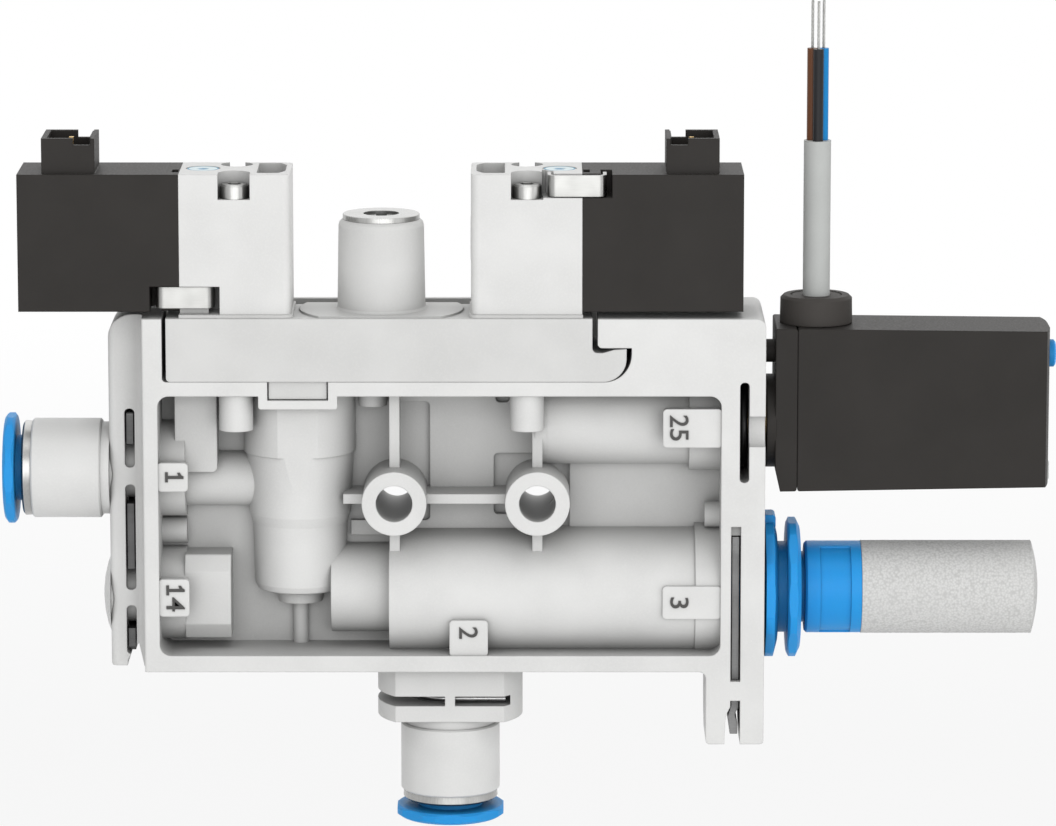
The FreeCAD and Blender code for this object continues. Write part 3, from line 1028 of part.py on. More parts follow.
def parts():
    """Name and shape of every piece."""
    named = {
        "housing": housing(),
        "manifold_plate": manifold_plate(),
        "throttle_bush": throttle_bush(),
        "throttle_screw": throttle_screw(),
        "plug_pins": plug_pins(),
        "valve_screws": valve_screws(),
        "end_plugs": end_plugs(),
        "main_piston": main_piston(),
        "piston_spring": piston_spring(),
        "jet_nozzle": jet_nozzle(),
        "receiver_nozzle": receiver_nozzle(),
        "vacuum_filter": vacuum_filter(),
        "blanking_plug": blanking_plug(),
        "plug_seals": plug_seals(),
        "port_clip": port_clip(),
        "exhaust_clip": exhaust_clip(),
        "sensor_clip": sensor_clip(),
        "vacuum_clip": vacuum_clip(),
        "exhaust_ring": exhaust_ring(),
        "exhaust_release_ring": exhaust_release(),
        "silencer_plug": silencer_plug(),
        "silencer_element": silencer_element(),
        "sensor_base": sensor_base(),
        "sensor_port": sensor_port(),
        "sensor_housing": sensor_housing(),
        "sensor_button": sensor_button(),
        "status_lamp": status_lamp(),
        "sensor_board": sensor_board(),
        "cable_gland": cable_gland(),
        "cable_jacket": cable_jacket(),
        "cable_core_black": cable_core(0),
        "cable_core_brown": cable_core(1),
        "cable_core_blue": cable_core(2),
        "cable_strands": cable_strands(),
    }
    for name, place in (("supply", SUPPLY), ("vacuum", VACUUM)):
        named[name + "_fitting"] = fitting_body(*place)
        named[name + "_tube_seal"] = fitting_seal(*place)
        named[name + "_grip_ring"] = grip_ring(*place)
        named[name + "_release_ring"] = release_ring(*place)
    for name, side in (("left", -1), ("right", 1)):
        named["valve_body_" + name] = valve_body(side)
        named["solenoid_" + name] = solenoid(side)
        named["coil_" + name] = coil(side)
        named["armature_" + name] = armature(side)
        named["armature_spring_" + name] = armature_spring(side)
        named["spool_" + name] = spool(side)
        named["override_" + name] = override(side)
        named["solenoid_clip_" + name] = solenoid_clip(side)
        named["valve_seal_" + name] = valve_seal(side)
    return named


os.makedirs("parts", exist_ok=True)
for node, shape in parts().items():
    shape.exportStep("parts/" + node + ".step")
    print(node, len(shape.Solids), shape.isValid(), round(shape.Volume, 1))
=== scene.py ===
"""Vacuum ejector: finishes, small details, studio and camera.

Everything is in metres in the part's own frame: +X points to the sensor and the silencer,
+Y into the wall behind the part, +Z up.
"""
import math
import bpy
from mathutils import Matrix, Vector, noise


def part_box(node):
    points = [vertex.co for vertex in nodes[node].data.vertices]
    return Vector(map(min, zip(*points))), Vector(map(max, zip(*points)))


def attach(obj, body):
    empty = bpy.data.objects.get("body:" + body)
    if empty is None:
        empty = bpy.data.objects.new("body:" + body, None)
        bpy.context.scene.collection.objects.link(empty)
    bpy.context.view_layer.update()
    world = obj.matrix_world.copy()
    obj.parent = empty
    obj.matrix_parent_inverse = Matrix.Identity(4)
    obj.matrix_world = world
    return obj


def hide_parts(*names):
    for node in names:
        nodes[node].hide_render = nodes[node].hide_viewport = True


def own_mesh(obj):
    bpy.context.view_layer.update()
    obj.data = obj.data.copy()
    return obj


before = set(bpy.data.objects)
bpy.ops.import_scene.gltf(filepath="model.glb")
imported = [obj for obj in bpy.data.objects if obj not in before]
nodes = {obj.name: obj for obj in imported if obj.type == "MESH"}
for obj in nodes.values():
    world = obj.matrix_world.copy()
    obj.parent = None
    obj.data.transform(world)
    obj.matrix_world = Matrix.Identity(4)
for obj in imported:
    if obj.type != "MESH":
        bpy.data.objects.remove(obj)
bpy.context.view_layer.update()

MM = 0.001
MID = -7.75 * MM  # middle of the housing's depth, where the ports and fittings have their axes

# Camera: a long lens that looks down slightly
CAMERA_PLACE = (6.951 * MM, -673.007 * MM, 129.832 * MM)
CAMERA_TILT = math.radians(90 - 10.3)
LENS, SENSOR_WIDTH = 204.75, 36.0
CLIP_START, CLIP_END = 0.01, 20

# Cable: three cores on a small triangle, each with bare wires at its end
GLAND_X, GLAND_TOP = 39.28 * MM, 22.5 * MM
GLAND_RING_INNER, GLAND_RING_OUTER, GLAND_RING_BEVEL = 1.56 * MM, 2.8 * MM, 0.05 * MM
GLAND_RING_LOW, GLAND_RING_HIGH = GLAND_TOP - 0.48 * MM, GLAND_TOP - 0.06 * MM
CORE_RING, CORE_R = 0.72 * MM, 0.58 * MM
CORE_ROUTE = [15.6 * MM, 19.0 * MM, 24.0 * MM, 32.0 * MM, 41.0 * MM, 46.0 * MM, 50.2 * MM]
STRAND_BOTTOM, STRAND_TOP, STRAND_LAY = 48.8 * MM, 55.55 * MM, 3 * MM
STRAND_RING, STRAND_WIRE_R, STRAND_WIRES = 0.108 * MM, 0.055 * MM, 7
CORE_ANGLES = {"black": 0, "brown": -120, "blue": 120}

# Springs: mean radius, wire radius, turns; the travel of their joints; turns that lie flat at an end
PISTON_SPRING = (2.0 * MM, 0.2 * MM, 7)
ARMATURE_SPRING = (0.95 * MM, 0.15 * MM, 6)
CLOSED_TURNS = 0.75
ALONG_X, ALONG_Z = 0, 2

# Port numbers: text, middle of the number on its tag along X and Z, in millimetres
PORT_NUMBERS = {
    "port_number_1": ("1", -32.5, 3.0), "port_number_14": ("14", -32.5, -10.8),
    "port_number_2": ("2", 0.28, -14.76), "port_number_25": ("25", 23.8, 8.6),
    "port_number_3": ("3", 23.9, -11.32),
}
TAG_FRONT = -15.2 * MM
DIGIT_WIDTHS = {"1": 1.13, "2": 1.32, "3": 1.24, "4": 1.6, "5": 1.28}
DIGIT_HEIGHT, DIGIT_GAP, DIGIT_RISE = 2.06 * MM, 0.24 * MM, 0.1 * MM
DIGIT_BOLDER = 0.004
ONE_OUTLINE = [
    (0.0, 0.0), (1.0, 0.0), (1.0, 0.15), (0.66, 0.15), (0.66, 1.0), (0.42, 1.0), (0.3, 0.88),
    (0.04, 0.8), (0.04, 0.66), (0.36, 0.72), (0.36, 0.15), (0.0, 0.15),
]

# Round forms of the housing's front bays, in millimetres: height of the axis, then from the left
# end to the right end the distance along X and the radius
BAY_FORMS = {
    "ejector_barrel": (-11.35, [(-8.65, 7.15), (25.7, 7.15), (25.7, 7.35), (28.6, 7.35)]),
    "sensing_channel": (8.13, [(7.7, 4.9), (9.1, 4.9)]),
    "supply_channel": (1.5, [(-31.55, 3.08), (-21.5, 3.08)]),
}
BAY_BACK = -7.0  # flat back of the forms, behind the face of the web

# Silencer: gap to its plug, bulge of its end, size and depth of its grains, edge band with grains
# that point along X
SILENCER_GAP, DOME = 0.02 * MM, 0.79 * MM
GRAIN, FINE_GRAIN, GRAIN_DEPTH, EDGE_BAND = 0.3 * MM, 0.2 * MM, 0.05 * MM, 0.2 * MM

# Colours
PALE, PLATE = (0.75, 0.75, 0.74), (0.67, 0.67, 0.66)
TEAL, ICE, DOT = (0.02, 0.27, 0.45), (0.74, 0.87, 0.9), (0.04, 0.26, 0.5)
BLACK = (0.03, 0.0275, 0.0255)
BLUE = (0.025, 0.33, 0.78)

# Surfaces: how dark painted shade makes a closed-in place, size of cloudy patches, lines, pores
# and grains, depth of the pores, rounding of metal edges and how near the walls are that paint shade on
# metal
PLASTIC_SHADE_LEAST, METAL_SHADE_LEAST = 0.42, 0.25
TONE_PATCH, DULL_PATCH, PORE_PATCH = 7 * MM, 2.5 * MM, 3 * MM
DRAWN_LINE, PORE, PORE_DEPTH, BUTTON_GRAIN = 1.6 * MM, 0.26 * MM, 0.03 * MM, 0.2 * MM
METAL_EDGE, METAL_SHADE_REACH = 0.08 * MM, 1.5 * MM
SAMPLES = 6

# Override buttons, in millimetres: axis along X and Y, reach of each ring of colour on the end
OVERRIDE_AXES = {"override_left": (-29.25, -9.62), "override_right": (10.47, -9.62)}
OVERRIDE_RINGS = [(1.77, TEAL), (1.6, ICE), (0.64, DOT)]

# Studio: the point that the lamps face, then each lamp's place, size and the share of white that
# it gives a face square to it
AIM = (0.01, MID, 0.005)
LAMPS = {
    "key": ((0.1, -1.15, -0.05), 1.4, 0.61),
    "top": ((0.0, -0.2, 0.9), 0.6, 0.16),
    "right": ((0.8, -0.35, 0.1), 0.5, 0.1),
    "rear": ((0.2, 0.75, 0.75), 1.2, 0.2),
}
SKY_SHARE = 0.46
FLOOR_HEIGHT, FLOOR_RADIUS, FLOOR_GREY, FLOOR_SHADOW = -0.075, 0.6, 0.8, 0.2
FADE_START, FADE_END = 0.35, 0.95


def linear(red, green, blue):
    """Colour for a shader from the numbers 0 to 255 that a screen shows."""
    return tuple(((c / 255 + 0.055) / 1.055) ** 2.4 if c > 10 else c / 3295 for c in (red, green, blue))


# Materials


class Finish:
    """A Principled material whose nodes are added by short calls."""

    def __init__(self, name, **sockets):
        self.material = bpy.data.materials.new(name)
        self.material.use_nodes = True
        self.tree = self.material.node_tree
        self.shader = self.tree.nodes["Principled BSDF"]
        self.place = self.add("ShaderNodeTexCoord").outputs["Object"]
        for socket, value in sockets.items():
            self.shader.inputs[socket.replace("_", " ")].default_value = value

    def add(self, kind, inputs=None, **settings):
        made = self.tree.nodes.new(kind)
        for key, value in settings.items():
            setattr(made, key, value)
        for key, value in (inputs or {}).items():
            if isinstance(value, bpy.types.NodeSocket):
                self.tree.links.new(value, made.inputs[key])
            else:
                made.inputs[key].default_value = value
        return made

    def cloud(self, size, detail=3, stretch=(1, 1, 1)):
        """Noise from 0 to 1 whose patches are about that size, drawn out along an axis."""
        place = self.add("ShaderNodeMapping", {"Vector": self.place, "Scale": stretch}).outputs[0]
        inputs = {"Vector": place, "Scale": 1 / size, "Detail": detail}
        return self.add("ShaderNodeTexNoise", inputs).outputs["Fac"]

    def cells(self, size):
        """Distance to the nearest of scattered points about that far apart."""
        inputs = {"Vector": self.place, "Scale": 1 / size}
        return self.add("ShaderNodeTexVoronoi", inputs).outputs["Distance"]

    def between(self, value, low, high, start=0.3, end=0.7):
        inputs = {"Value": value, "From Min": start, "From Max": end, "To Min": low, "To Max": high}
        return self.add("ShaderNodeMapRange", inputs).outputs[0]

    def math(self, operation, *values):
        return self.add("ShaderNodeMath", dict(enumerate(values)), operation=operation).outputs[0]

    def blend(self, share, first, second):
        made = self.add("ShaderNodeMix", data_type="RGBA")
        for index, value in ((0, share), (6, first), (7, second)):
            if isinstance(value, bpy.types.NodeSocket):
                self.tree.links.new(value, made.inputs[index])
            else:
                made.inputs[index].default_value = (*value, 1) if index else value
        return made.outputs[2]

    def soft_edges(self, radius):
        return self.add("ShaderNodeBevel", {"Radius": radius}, samples=SAMPLES).outputs[0]

    def painted_shade(self, colour, reach, least):
        """The colour with painted shade: darker where nearby walls close it in."""
        shut = self.add("ShaderNodeAmbientOcclusion", {"Distance": reach}, samples=SAMPLES).outputs["AO"]
        depth = self.between(shut, least, 1, 0, 1)
        return self.blend(depth, (0, 0, 0), colour)

    def bump(self, height, depth, normal=None, strength=1.0):
        inputs = {"Height": height, "Distance": depth, "Strength": strength}
        if normal:
            inputs["Normal"] = normal
        return self.add("ShaderNodeBump", inputs).outputs[0]

    def finish(self, colour, roughness, normal):
        for socket, value in (("Base Color", colour), ("Roughness", roughness), ("Normal", normal)):
            self.tree.links.new(value, self.shader.inputs[socket])
        return self.material


def shade(colour, factor):
    return tuple(min(1.0, c * factor) for c in colour)


def moulded(name, colour, roughness, grain=0.22 * MM, depth=0.006 * MM, edge=0.22 * MM,
            tone=0.04, reach=0, shine=0.16, **sockets):
    """Moulded plastic: spark-eroded grain, faint cloudy tone, rounded edges; with a reach, painted shade
    in closed-in places.
    """
    look = Finish(name, Specular_IOR_Level=shine, **sockets)
    broad, fine = look.cloud(TONE_PATCH, 2), look.cloud(grain, 3)
    base = look.blend(look.between(broad, 0, 1), shade(colour, 1 - tone), shade(colour, 1 + tone))
    speck = look.blend(look.between(fine, 0, 0.35, 0.45, 0.8), base, shade(colour, 1 + 2.5 * tone))
    # Painted shade: the colour darkens where walls close it in, within the reach
    if reach:
        speck = look.painted_shade(speck, reach, PLASTIC_SHADE_LEAST)
    rough = look.between(fine, roughness - 0.06, roughness + 0.08)
    return look.finish(speck, rough, look.bump(fine, depth, look.soft_edges(edge)))


def drawn(name, colour, roughness, along, tone=0.12, depth=0.004 * MM):
    """Metal with fine lines along one axis from drawing, rolling or turning, and painted shade near
    walls.
    """
    look = Finish(name, Metallic=1.0)
    lines, dull = look.cloud(DRAWN_LINE, 4, along), look.cloud(DULL_PATCH, 2)
    base = look.blend(look.between(lines, 0, 1), shade(colour, 1 - tone), shade(colour, 1 + tone / 2))
    # Painted shade: the metal darkens near walls, so parts deep in slots look shaded
    base = look.painted_shade(base, METAL_SHADE_REACH, METAL_SHADE_LEAST)
    rough = look.between(dull, roughness - 0.07, roughness + 0.1)
    return look.finish(base, rough, look.bump(lines, depth, look.soft_edges(METAL_EDGE)))


def porous(name, pale, dark):
    """Sintered grains with open pores between them."""
    look = Finish(name, Specular_IOR_Level=0.3)
    grains, broad = look.cells(PORE), look.cloud(PORE_PATCH, 3)
    base = look.blend(look.between(grains, 0, 1, 0.25, 0.85), pale, dark)
    base = look.blend(look.between(broad, 0, 0.25), base, shade(pale, 0.92))
    rough = look.between(grains, 0.8, 0.98)
    return look.finish(base, rough, look.bump(grains, PORE_DEPTH, strength=0.8))


def target(name, axis, side, rings):
    """Button whose end has rings of colour about a vertical axis, from the widest to the dot."""
    look = Finish(name, Specular_IOR_Level=0.12)
    centre = (-axis[0] * MM, -axis[1] * MM, 0)
    moved = look.add("ShaderNodeVectorMath", {0: look.place, 1: centre}, operation="ADD").outputs[0]
    flat = look.add("ShaderNodeVectorMath", {0: moved, 1: (1, 1, 0)}, operation="MULTIPLY").outputs[0]
    radius = look.add("ShaderNodeVectorMath", {0: flat}, operation="LENGTH").outputs["Value"]
    colour = side
    for reach, ring in rings:
        colour = look.blend(look.math("LESS_THAN", radius, reach * MM), colour, ring)
    fine = look.cloud(BUTTON_GRAIN, 3)
    speck = look.blend(look.between(fine, 0, 0.12), colour, (0.9, 0.9, 0.9))
    rough = look.between(fine, 0.34, 0.46)
    return look.finish(speck, rough, look.bump(fine, 0.004 * MM, look.soft_edges(0.1 * MM)))


def make_materials():
    made = {
        # reach: how far the painted shade in closed-in places looks for walls
        "housing": moulded("housing_plastic", PALE, 0.5, reach=14 * MM),
        "plate": moulded("plate_plastic", PLATE, 0.5, reach=5 * MM),
        "valve": moulded("valve_plastic", PALE, 0.45, edge=0.15 * MM, reach=4 * MM),
        "fitting": moulded("fitting_plastic", PALE, 0.38, depth=0.003 * MM, edge=0.15 * MM,
                           reach=4 * MM),
        "gasket": moulded("gasket_rubber", (0.62, 0.62, 0.61), 0.6, edge=0.1 * MM),
        "black": moulded("black_plastic", BLACK, 0.5, tone=0.08, edge=0.2 * MM, shine=0.12),
        "gland": moulded("gland_plastic", shade(BLACK, 1.9), 0.6, tone=0.08, shine=0.12),
        "blue": moulded("blue_plastic", BLUE, 0.42, depth=0.002 * MM, edge=0.15 * MM, reach=3 * MM,
                        Subsurface_Weight=0.15, Subsurface_Scale=0.6 * MM),
        "steel": drawn("turned_steel", (0.42, 0.42, 0.41), 0.3, (14, 14, 1)),
        "strip": drawn("strip_steel", (0.37, 0.37, 0.36), 0.34, (1, 1, 14), tone=0.04, depth=0.001 * MM),
        "clip": drawn("clip_steel", (0.25, 0.25, 0.25), 0.36, (1, 1, 14)),
        # Clips in narrow slots: steel painted very dark, partly their own dark colour and partly painted
        # shade of the slots
        "dark_clip_with_painted_shade": drawn("dark_clip_steel_with_painted_shade", (0.09, 0.09, 0.09), 0.4, (1, 1, 14)),
        "wire": drawn("spring_wire", (0.6, 0.6, 0.6), 0.28, (10, 1, 1)),
        "iron": drawn("ground_iron", (0.42, 0.42, 0.43), 0.35, (14, 1, 1)),
        "brass": drawn("turned_brass", (0.72, 0.52, 0.24), 0.28, (14, 1, 1)),
        "bronze": porous("sintered_bronze", (0.5, 0.36, 0.18), (0.16, 0.1, 0.05)),
        "rubber": moulded("seal_rubber", (0.02, 0.02, 0.02), 0.62, edge=0.1 * MM, tone=0.1),
        "element": porous("sintered_plastic", (0.72, 0.72, 0.71), (0.56, 0.56, 0.55)),
        "lamp": moulded("lamp_plastic", (0.55, 0.57, 0.55), 0.15, edge=0.1 * MM, Coat_Weight=0.5),
        "resin": moulded("coil_resin", (0.2, 0.05, 0.02), 0.4, tone=0.12),
        "board": moulded("board_laminate", (0.03, 0.16, 0.07), 0.3, tone=0.12, Coat_Weight=0.3),
        "jacket": moulded("cable_jacket_plastic", linear(186, 188, 186), 0.55, depth=0.004 * MM,
                          edge=0.1 * MM),
        "core_black": moulded("core_black_plastic", linear(38, 38, 40), 0.38, edge=0.05 * MM),
        "core_brown": moulded("core_brown_plastic", linear(104, 66, 44), 0.38, edge=0.05 * MM),
        "core_blue": moulded("core_blue_plastic", linear(20, 132, 200), 0.38, edge=0.05 * MM),
        "tinned": drawn("tinned_copper", (0.42, 0.42, 0.41), 0.4, (1, 1, 6)),
        "digit": moulded("digit_ink", linear(84, 83, 82), 0.55, edge=0.03 * MM),
    }
    for name, axis in OVERRIDE_AXES.items():
        made[name] = target(name + "_plastic", axis, PALE, OVERRIDE_RINGS)
    return made


MATERIALS = make_materials()
NODE_FINISH = {
    "housing": "housing", "manifold_plate": "plate", "throttle_bush": "steel", "throttle_screw": "steel",
    "plug_pins": "brass", "valve_screws": "steel", "end_plugs": "valve", "main_piston": "black",
    "jet_nozzle": "brass", "receiver_nozzle": "brass", "vacuum_filter": "bronze",
    "blanking_plug": "fitting", "plug_seals": "rubber", "port_clip": "dark_clip_with_painted_shade", "exhaust_clip": "clip",
    "sensor_clip": "dark_clip_with_painted_shade", "vacuum_clip": "wire", "exhaust_ring": "blue",
    "exhaust_release_ring": "blue", "silencer_plug": "blue", "sensor_base": "black",
    "sensor_port": "brass", "sensor_housing": "black", "sensor_button": "blue",
    "status_lamp": "lamp", "sensor_board": "board", "cable_gland": "gland", "cable_jacket": "jacket",
}
PAIRED_FINISH = {
    "_fitting": "fitting", "_tube_seal": "rubber", "_grip_ring": "steel", "_release_ring": "blue",
}
VALVE_FINISH = {
    "valve_body_": "valve", "solenoid_": "black", "coil_": "resin", "armature_": "iron",
    "spool_": "brass", "solenoid_clip_": "strip", "valve_seal_": "gasket",
}


def dress_nodes():
    """Gives every shown node its finish."""
    finishes = dict(NODE_FINISH)
    for port in ("supply", "vacuum"):
        finishes.update({port + part: look for part, look in PAIRED_FINISH.items()})
    for side in ("left", "right"):
        finishes.update({part + side: look for part, look in VALVE_FINISH.items()})
        finishes["override_" + side] = "override_" + side
    for name, look in finishes.items():
        nodes[name].data.materials[0] = MATERIALS[look]


# Meshes


def mesh_piece(name, points, faces, look, smooth=True):
    mesh = bpy.data.meshes.new(name)
    mesh.from_pydata([tuple(p) for p in points], [], faces)
    mesh.polygons.foreach_set("use_smooth", [smooth] * len(mesh.polygons))
    mesh.materials.append(MATERIALS[look])
    mesh.validate()
    piece = bpy.data.objects.new(name, mesh)
    bpy.context.scene.collection.objects.link(piece)
    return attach(piece, "base")


def wires(name, paths, radius, look):
    """One mesh of round wires along the paths, each closed at its ends."""
    points, faces, sides = [], [], 8
    for path in paths:
        across = None
        first = len(points)
        for i, here in enumerate(path):
            way = (path[min(i + 1, len(path) - 1)] - path[max(i - 1, 0)]).normalized()
            if across is None:
                across = way.orthogonal().normalized()
            across = (across - way * across.dot(way)).normalized()
            other = way.cross(across)
            for k in range(sides):
                turn = 2 * math.pi * k / sides
                points.append(here + (across * math.cos(turn) + other * math.sin(turn)) * radius)
        for i in range(len(path) - 1):
            low, high = first + i * sides, first + (i + 1) * sides
            faces += [(low + k, low + (k + 1) % sides, high + (k + 1) % sides, high + k)
                      for k in range(sides)]
        faces.append(tuple(first + k for k in reversed(range(sides))))
        faces.append(tuple(len(points) - sides + k for k in range(sides)))
    return mesh_piece(name, points, faces, look)


def coil_path(start, end, radius, wire, turns):
    """Helix from start to end whose end turns lie flat."""
    way = (end - start).normalized()
    side = way.orthogonal().normalized()
    other = way.cross(side)
    length = (end - start).length - 2 * wire
    steps = int(turns * 24)
    path = []
    for i in range(steps + 1):
        turn = turns * i / steps
        share = min(max((turn - CLOSED_TURNS) / (turns - 2 * CLOSED_TURNS), 0), 1)
        rise = wire + share * length
        angle = 2 * math.pi * turn
        path.append(start + way * rise + (side * math.cos(angle) + other * math.sin(angle)) * radius)
    return path


def spring(node, axis, sizes):
    """Coil spring in place of the sleeve node."""
    low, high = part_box(node)
    middle = (low + high) / 2
    start, end = middle.copy(), middle.copy()
    start[axis], end[axis] = low[axis], high[axis]
    radius, wire, turns = sizes
    piece = wires(node + "_coil", [coil_path(start, end, radius, wire, turns)], wire, "wire")
    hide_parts(node)
    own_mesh(piece)


def springs():
    spring("piston_spring", ALONG_Z, PISTON_SPRING)
    spring("armature_spring_left", ALONG_X, ARMATURE_SPRING)
    spring("armature_spring_right", ALONG_X, ARMATURE_SPRING)


# Housing


def bay_form(name, axis_z, stations):
    """Front half of a round form along X; its flat back lies inside the housing's web."""
    back, sides = BAY_BACK * MM, 64
    points, faces = [], []
    for x, radius in stations:
        for k in range(sides + 1):
            turn = math.pi * k / sides
            y, z = MID - radius * MM * math.sin(turn), axis_z * MM + radius * MM * math.cos(turn)
            points.append((x * MM, y, z))
        points += [(x * MM, back, (axis_z - radius) * MM), (x * MM, back, (axis_z + radius) * MM)]
    count = sides + 3
    for i in range(len(stations) - 1):
        a, b = i * count, (i + 1) * count
        faces += [(a + k, a + (k + 1) % count, b + (k + 1) % count, b + k) for k in range(count)]
    faces += [tuple(reversed(range(count))), tuple(len(points) - count + k for k in range(count))]
    piece = mesh_piece(name, points, faces, "housing", smooth=False)
    piece.data.polygons.foreach_set("use_smooth", [len(face) == 4 for face in faces])
    piece.data.set_sharp_from_angle(angle=math.radians(30))


def bay_forms():
    for name, (axis_z, stations) in BAY_FORMS.items():
        bay_form(name, axis_z, stations)


# Cable


def core_place(colour):
    angle = math.radians(CORE_ANGLES[colour])
    return GLAND_X + CORE_RING * math.sin(angle), MID - CORE_RING * math.cos(angle)


def strands():
    """Twisted wires bare at the end of each core."""
    paths, steps = [], 28
    for colour in CORE_ANGLES:
        x, y = core_place(colour)
        for k in range(STRAND_WIRES):
            ring = 0 if k == STRAND_WIRES - 1 else STRAND_RING
            path = []
            for i in range(steps + 1):
                z = STRAND_BOTTOM + (STRAND_TOP - STRAND_BOTTOM) * i / steps
                angle = math.radians(60 * k) + 2 * math.pi * (z - STRAND_BOTTOM) / STRAND_LAY
                path.append(Vector((x + ring * math.cos(angle), y + ring * math.sin(angle), z)))
            paths.append(path)
    piece = wires("cable_strand_wires", paths, STRAND_WIRE_R, "tinned")
    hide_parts("cable_strands")
    return piece


def core(colour):
    """Insulated core on its straight route through gland and jacket."""
    x, y = core_place(colour)
    curve = bpy.data.curves.new("cable_core_" + colour + "_insulation", "CURVE")
    curve.dimensions = "3D"
    curve.bevel_depth = CORE_R
    curve.bevel_resolution = 5
    curve.use_fill_caps = True
    line = curve.splines.new("NURBS")
    line.points.add(len(CORE_ROUTE) - 1)
    for point, z in zip(line.points, CORE_ROUTE):
        point.co = (x, y, z, 1)
    line.order_u = 3
    line.use_endpoint_u = True
    curve.materials.append(MATERIALS["core_" + colour])
    piece = bpy.data.objects.new(curve.name, curve)
    bpy.context.scene.collection.objects.link(piece)
    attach(piece, "base")
    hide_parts("cable_core_" + colour)


def gland_ring():
    """Ring in the gland's recess, with a fine gap round its outside."""
    profile = [
        (GLAND_RING_INNER, GLAND_RING_LOW), (GLAND_RING_OUTER, GLAND_RING_LOW),
        (GLAND_RING_OUTER, GLAND_RING_HIGH - GLAND_RING_BEVEL),
        (GLAND_RING_OUTER - GLAND_RING_BEVEL, GLAND_RING_HIGH), (GLAND_RING_INNER, GLAND_RING_HIGH),
    ]
    points, faces, count, sides = [], [], len(profile), 72
    for k in range(sides):
        turn = 2 * math.pi * k / sides
        points += [(GLAND_X + r * math.cos(turn), MID + r * math.sin(turn), z) for r, z in profile]
        a, b = k * count, (k + 1) % sides * count
        faces += [(a + i, b + i, b + (i + 1) % count, a + (i + 1) % count) for i in range(count)]
    piece = mesh_piece("gland_ring", points, faces, "gland", smooth=False)


def cable():
    gland_ring()
    bare = strands()
    core("black")
    core("brown")
    core("blue")


# Silencer


def silencer_grain():
    """Porous rod with grains in its surface and a slightly domed end."""
    low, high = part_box("silencer_element")
    plug_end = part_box("silencer_plug")[1].x
    start, edge = plug_end + SILENCER_GAP, high.x - DOME
    radius, axis_z = (high.z - low.z) / 2, (high.z + low.z) / 2
    steps, rings, sides = 150, 28, 210
    profile = [(start, radius)]
    profile += [(start + (edge - start) * i / steps, radius) for i in range(1, steps + 1)]
    for i in range(1, rings):
        r = radius * (1 - i / rings)
        profile.append((high.x - DOME * (r / radius) ** 2, r))
    points, faces = [], []
    for x, r in profile:
        for k in range(sides):
            turn = 2 * math.pi * k / sides
            flat = Vector((x, MID + r * math.cos(turn), axis_z + r * math.sin(turn)))
            inward = Vector((0, MID - flat.y, axis_z - flat.z))
            if x > edge - EDGE_BAND:
                inward = Vector((-radius, 0, 0))
            grain = noise.voronoi(flat / GRAIN)[0][0] + 0.4 * noise.noise(flat / FINE_GRAIN)
            points.append(flat + inward.normalized() * GRAIN_DEPTH * min(max(grain, 0), 1))
    for i in range(len(profile) - 1):
        a, b = i * sides, (i + 1) * sides
        faces += [(a + k, a + (k + 1) % sides, b + (k + 1) % sides, b + k) for k in range(sides)]
    faces += [tuple(reversed(range(sides))), tuple(len(points) - sides + k for k in range(sides))]
    piece = mesh_piece("silencer_grain", points, faces, "element")
    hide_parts("silencer_element")


# Port numbers


def corner(mesh, pick):
    """Least or greatest corner of the mesh's box."""
    return Vector([pick(v.co[i] for v in mesh.vertices) for i in range(3)])


def digit_mesh(digit):
    """Solid digit whose outline fills its own width and the digit height."""
    if digit == "1":
        curve = bpy.data.curves.new("digit_outline", "CURVE")
        curve.dimensions, curve.fill_mode = "2D", "BOTH"
        line = curve.splines.new("POLY")
        line.points.add(len(ONE_OUTLINE) - 1)
        for point, (x, y) in zip(line.points, ONE_OUTLINE):
            point.co = (x, y, 0, 1)
        line.use_cyclic_u = True
    else:
        curve = bpy.data.curves.new("digit_outline", "FONT")
        curve.body = digit
        curve.offset = DIGIT_BOLDER
    curve.extrude = 0.5
    outline = bpy.data.objects.new("digit_outline", curve)
    bpy.context.scene.collection.objects.link(outline)
    bpy.context.view_layer.update()
    mesh = bpy.data.meshes.new_from_object(outline)
    bpy.data.objects.remove(outline)
    low, high = corner(mesh, min), corner(mesh, max)
    size = Vector((DIGIT_WIDTHS[digit] * MM, DIGIT_HEIGHT, 2 * DIGIT_RISE))
    fit = Matrix.Diagonal([size[i] / (high[i] - low[i]) for i in range(3)]).to_4x4()
    mesh.transform(fit @ Matrix.Translation(-(low + high) / 2))
    return mesh


def port_number(name, text, x, z):
    """Raised number on a port tag, turned so that it reads downwards."""
    length = sum(DIGIT_WIDTHS[digit] * MM for digit in text) + DIGIT_GAP * (len(text) - 1)
    turn = Matrix(((0, 1, 0), (0, 0, -1), (-1, 0, 0))).to_4x4()
    place = Matrix.Translation((x * MM, TAG_FRONT, z * MM)) @ turn
    along = -length / 2
    points, faces = [], []
    for digit in text:
        width = DIGIT_WIDTHS[digit] * MM
        mesh = digit_mesh(digit)
        mesh.transform(place @ Matrix.Translation((along + width / 2, 0, 0)))
        first = len(points)
        points += [v.co.copy() for v in mesh.vertices]
        faces += [tuple(first + k for k in face.vertices) for face in mesh.polygons]
        bpy.data.meshes.remove(mesh)
        along += width + DIGIT_GAP
    piece = mesh_piece(name, points, faces, "digit", smooth=False)


def port_numbers():
    for name, (text, x, z) in PORT_NUMBERS.items():
        port_number(name, text, x, z)


# Studio


def area_lamp(name, place, size, share):
    way = Vector(AIM) - Vector(place)
    lamp = bpy.data.lights.new(name, "AREA")
    lamp.shape = "SQUARE"
    lamp.size = size
    lamp.energy = level(share, way.length, size)
    holder = bpy.data.objects.new(name, lamp)
    holder.visible_camera = False
    holder.location = place
    holder.rotation_euler = way.to_track_quat("-Z", "Y").to_euler()
    bpy.context.scene.collection.objects.link(holder)


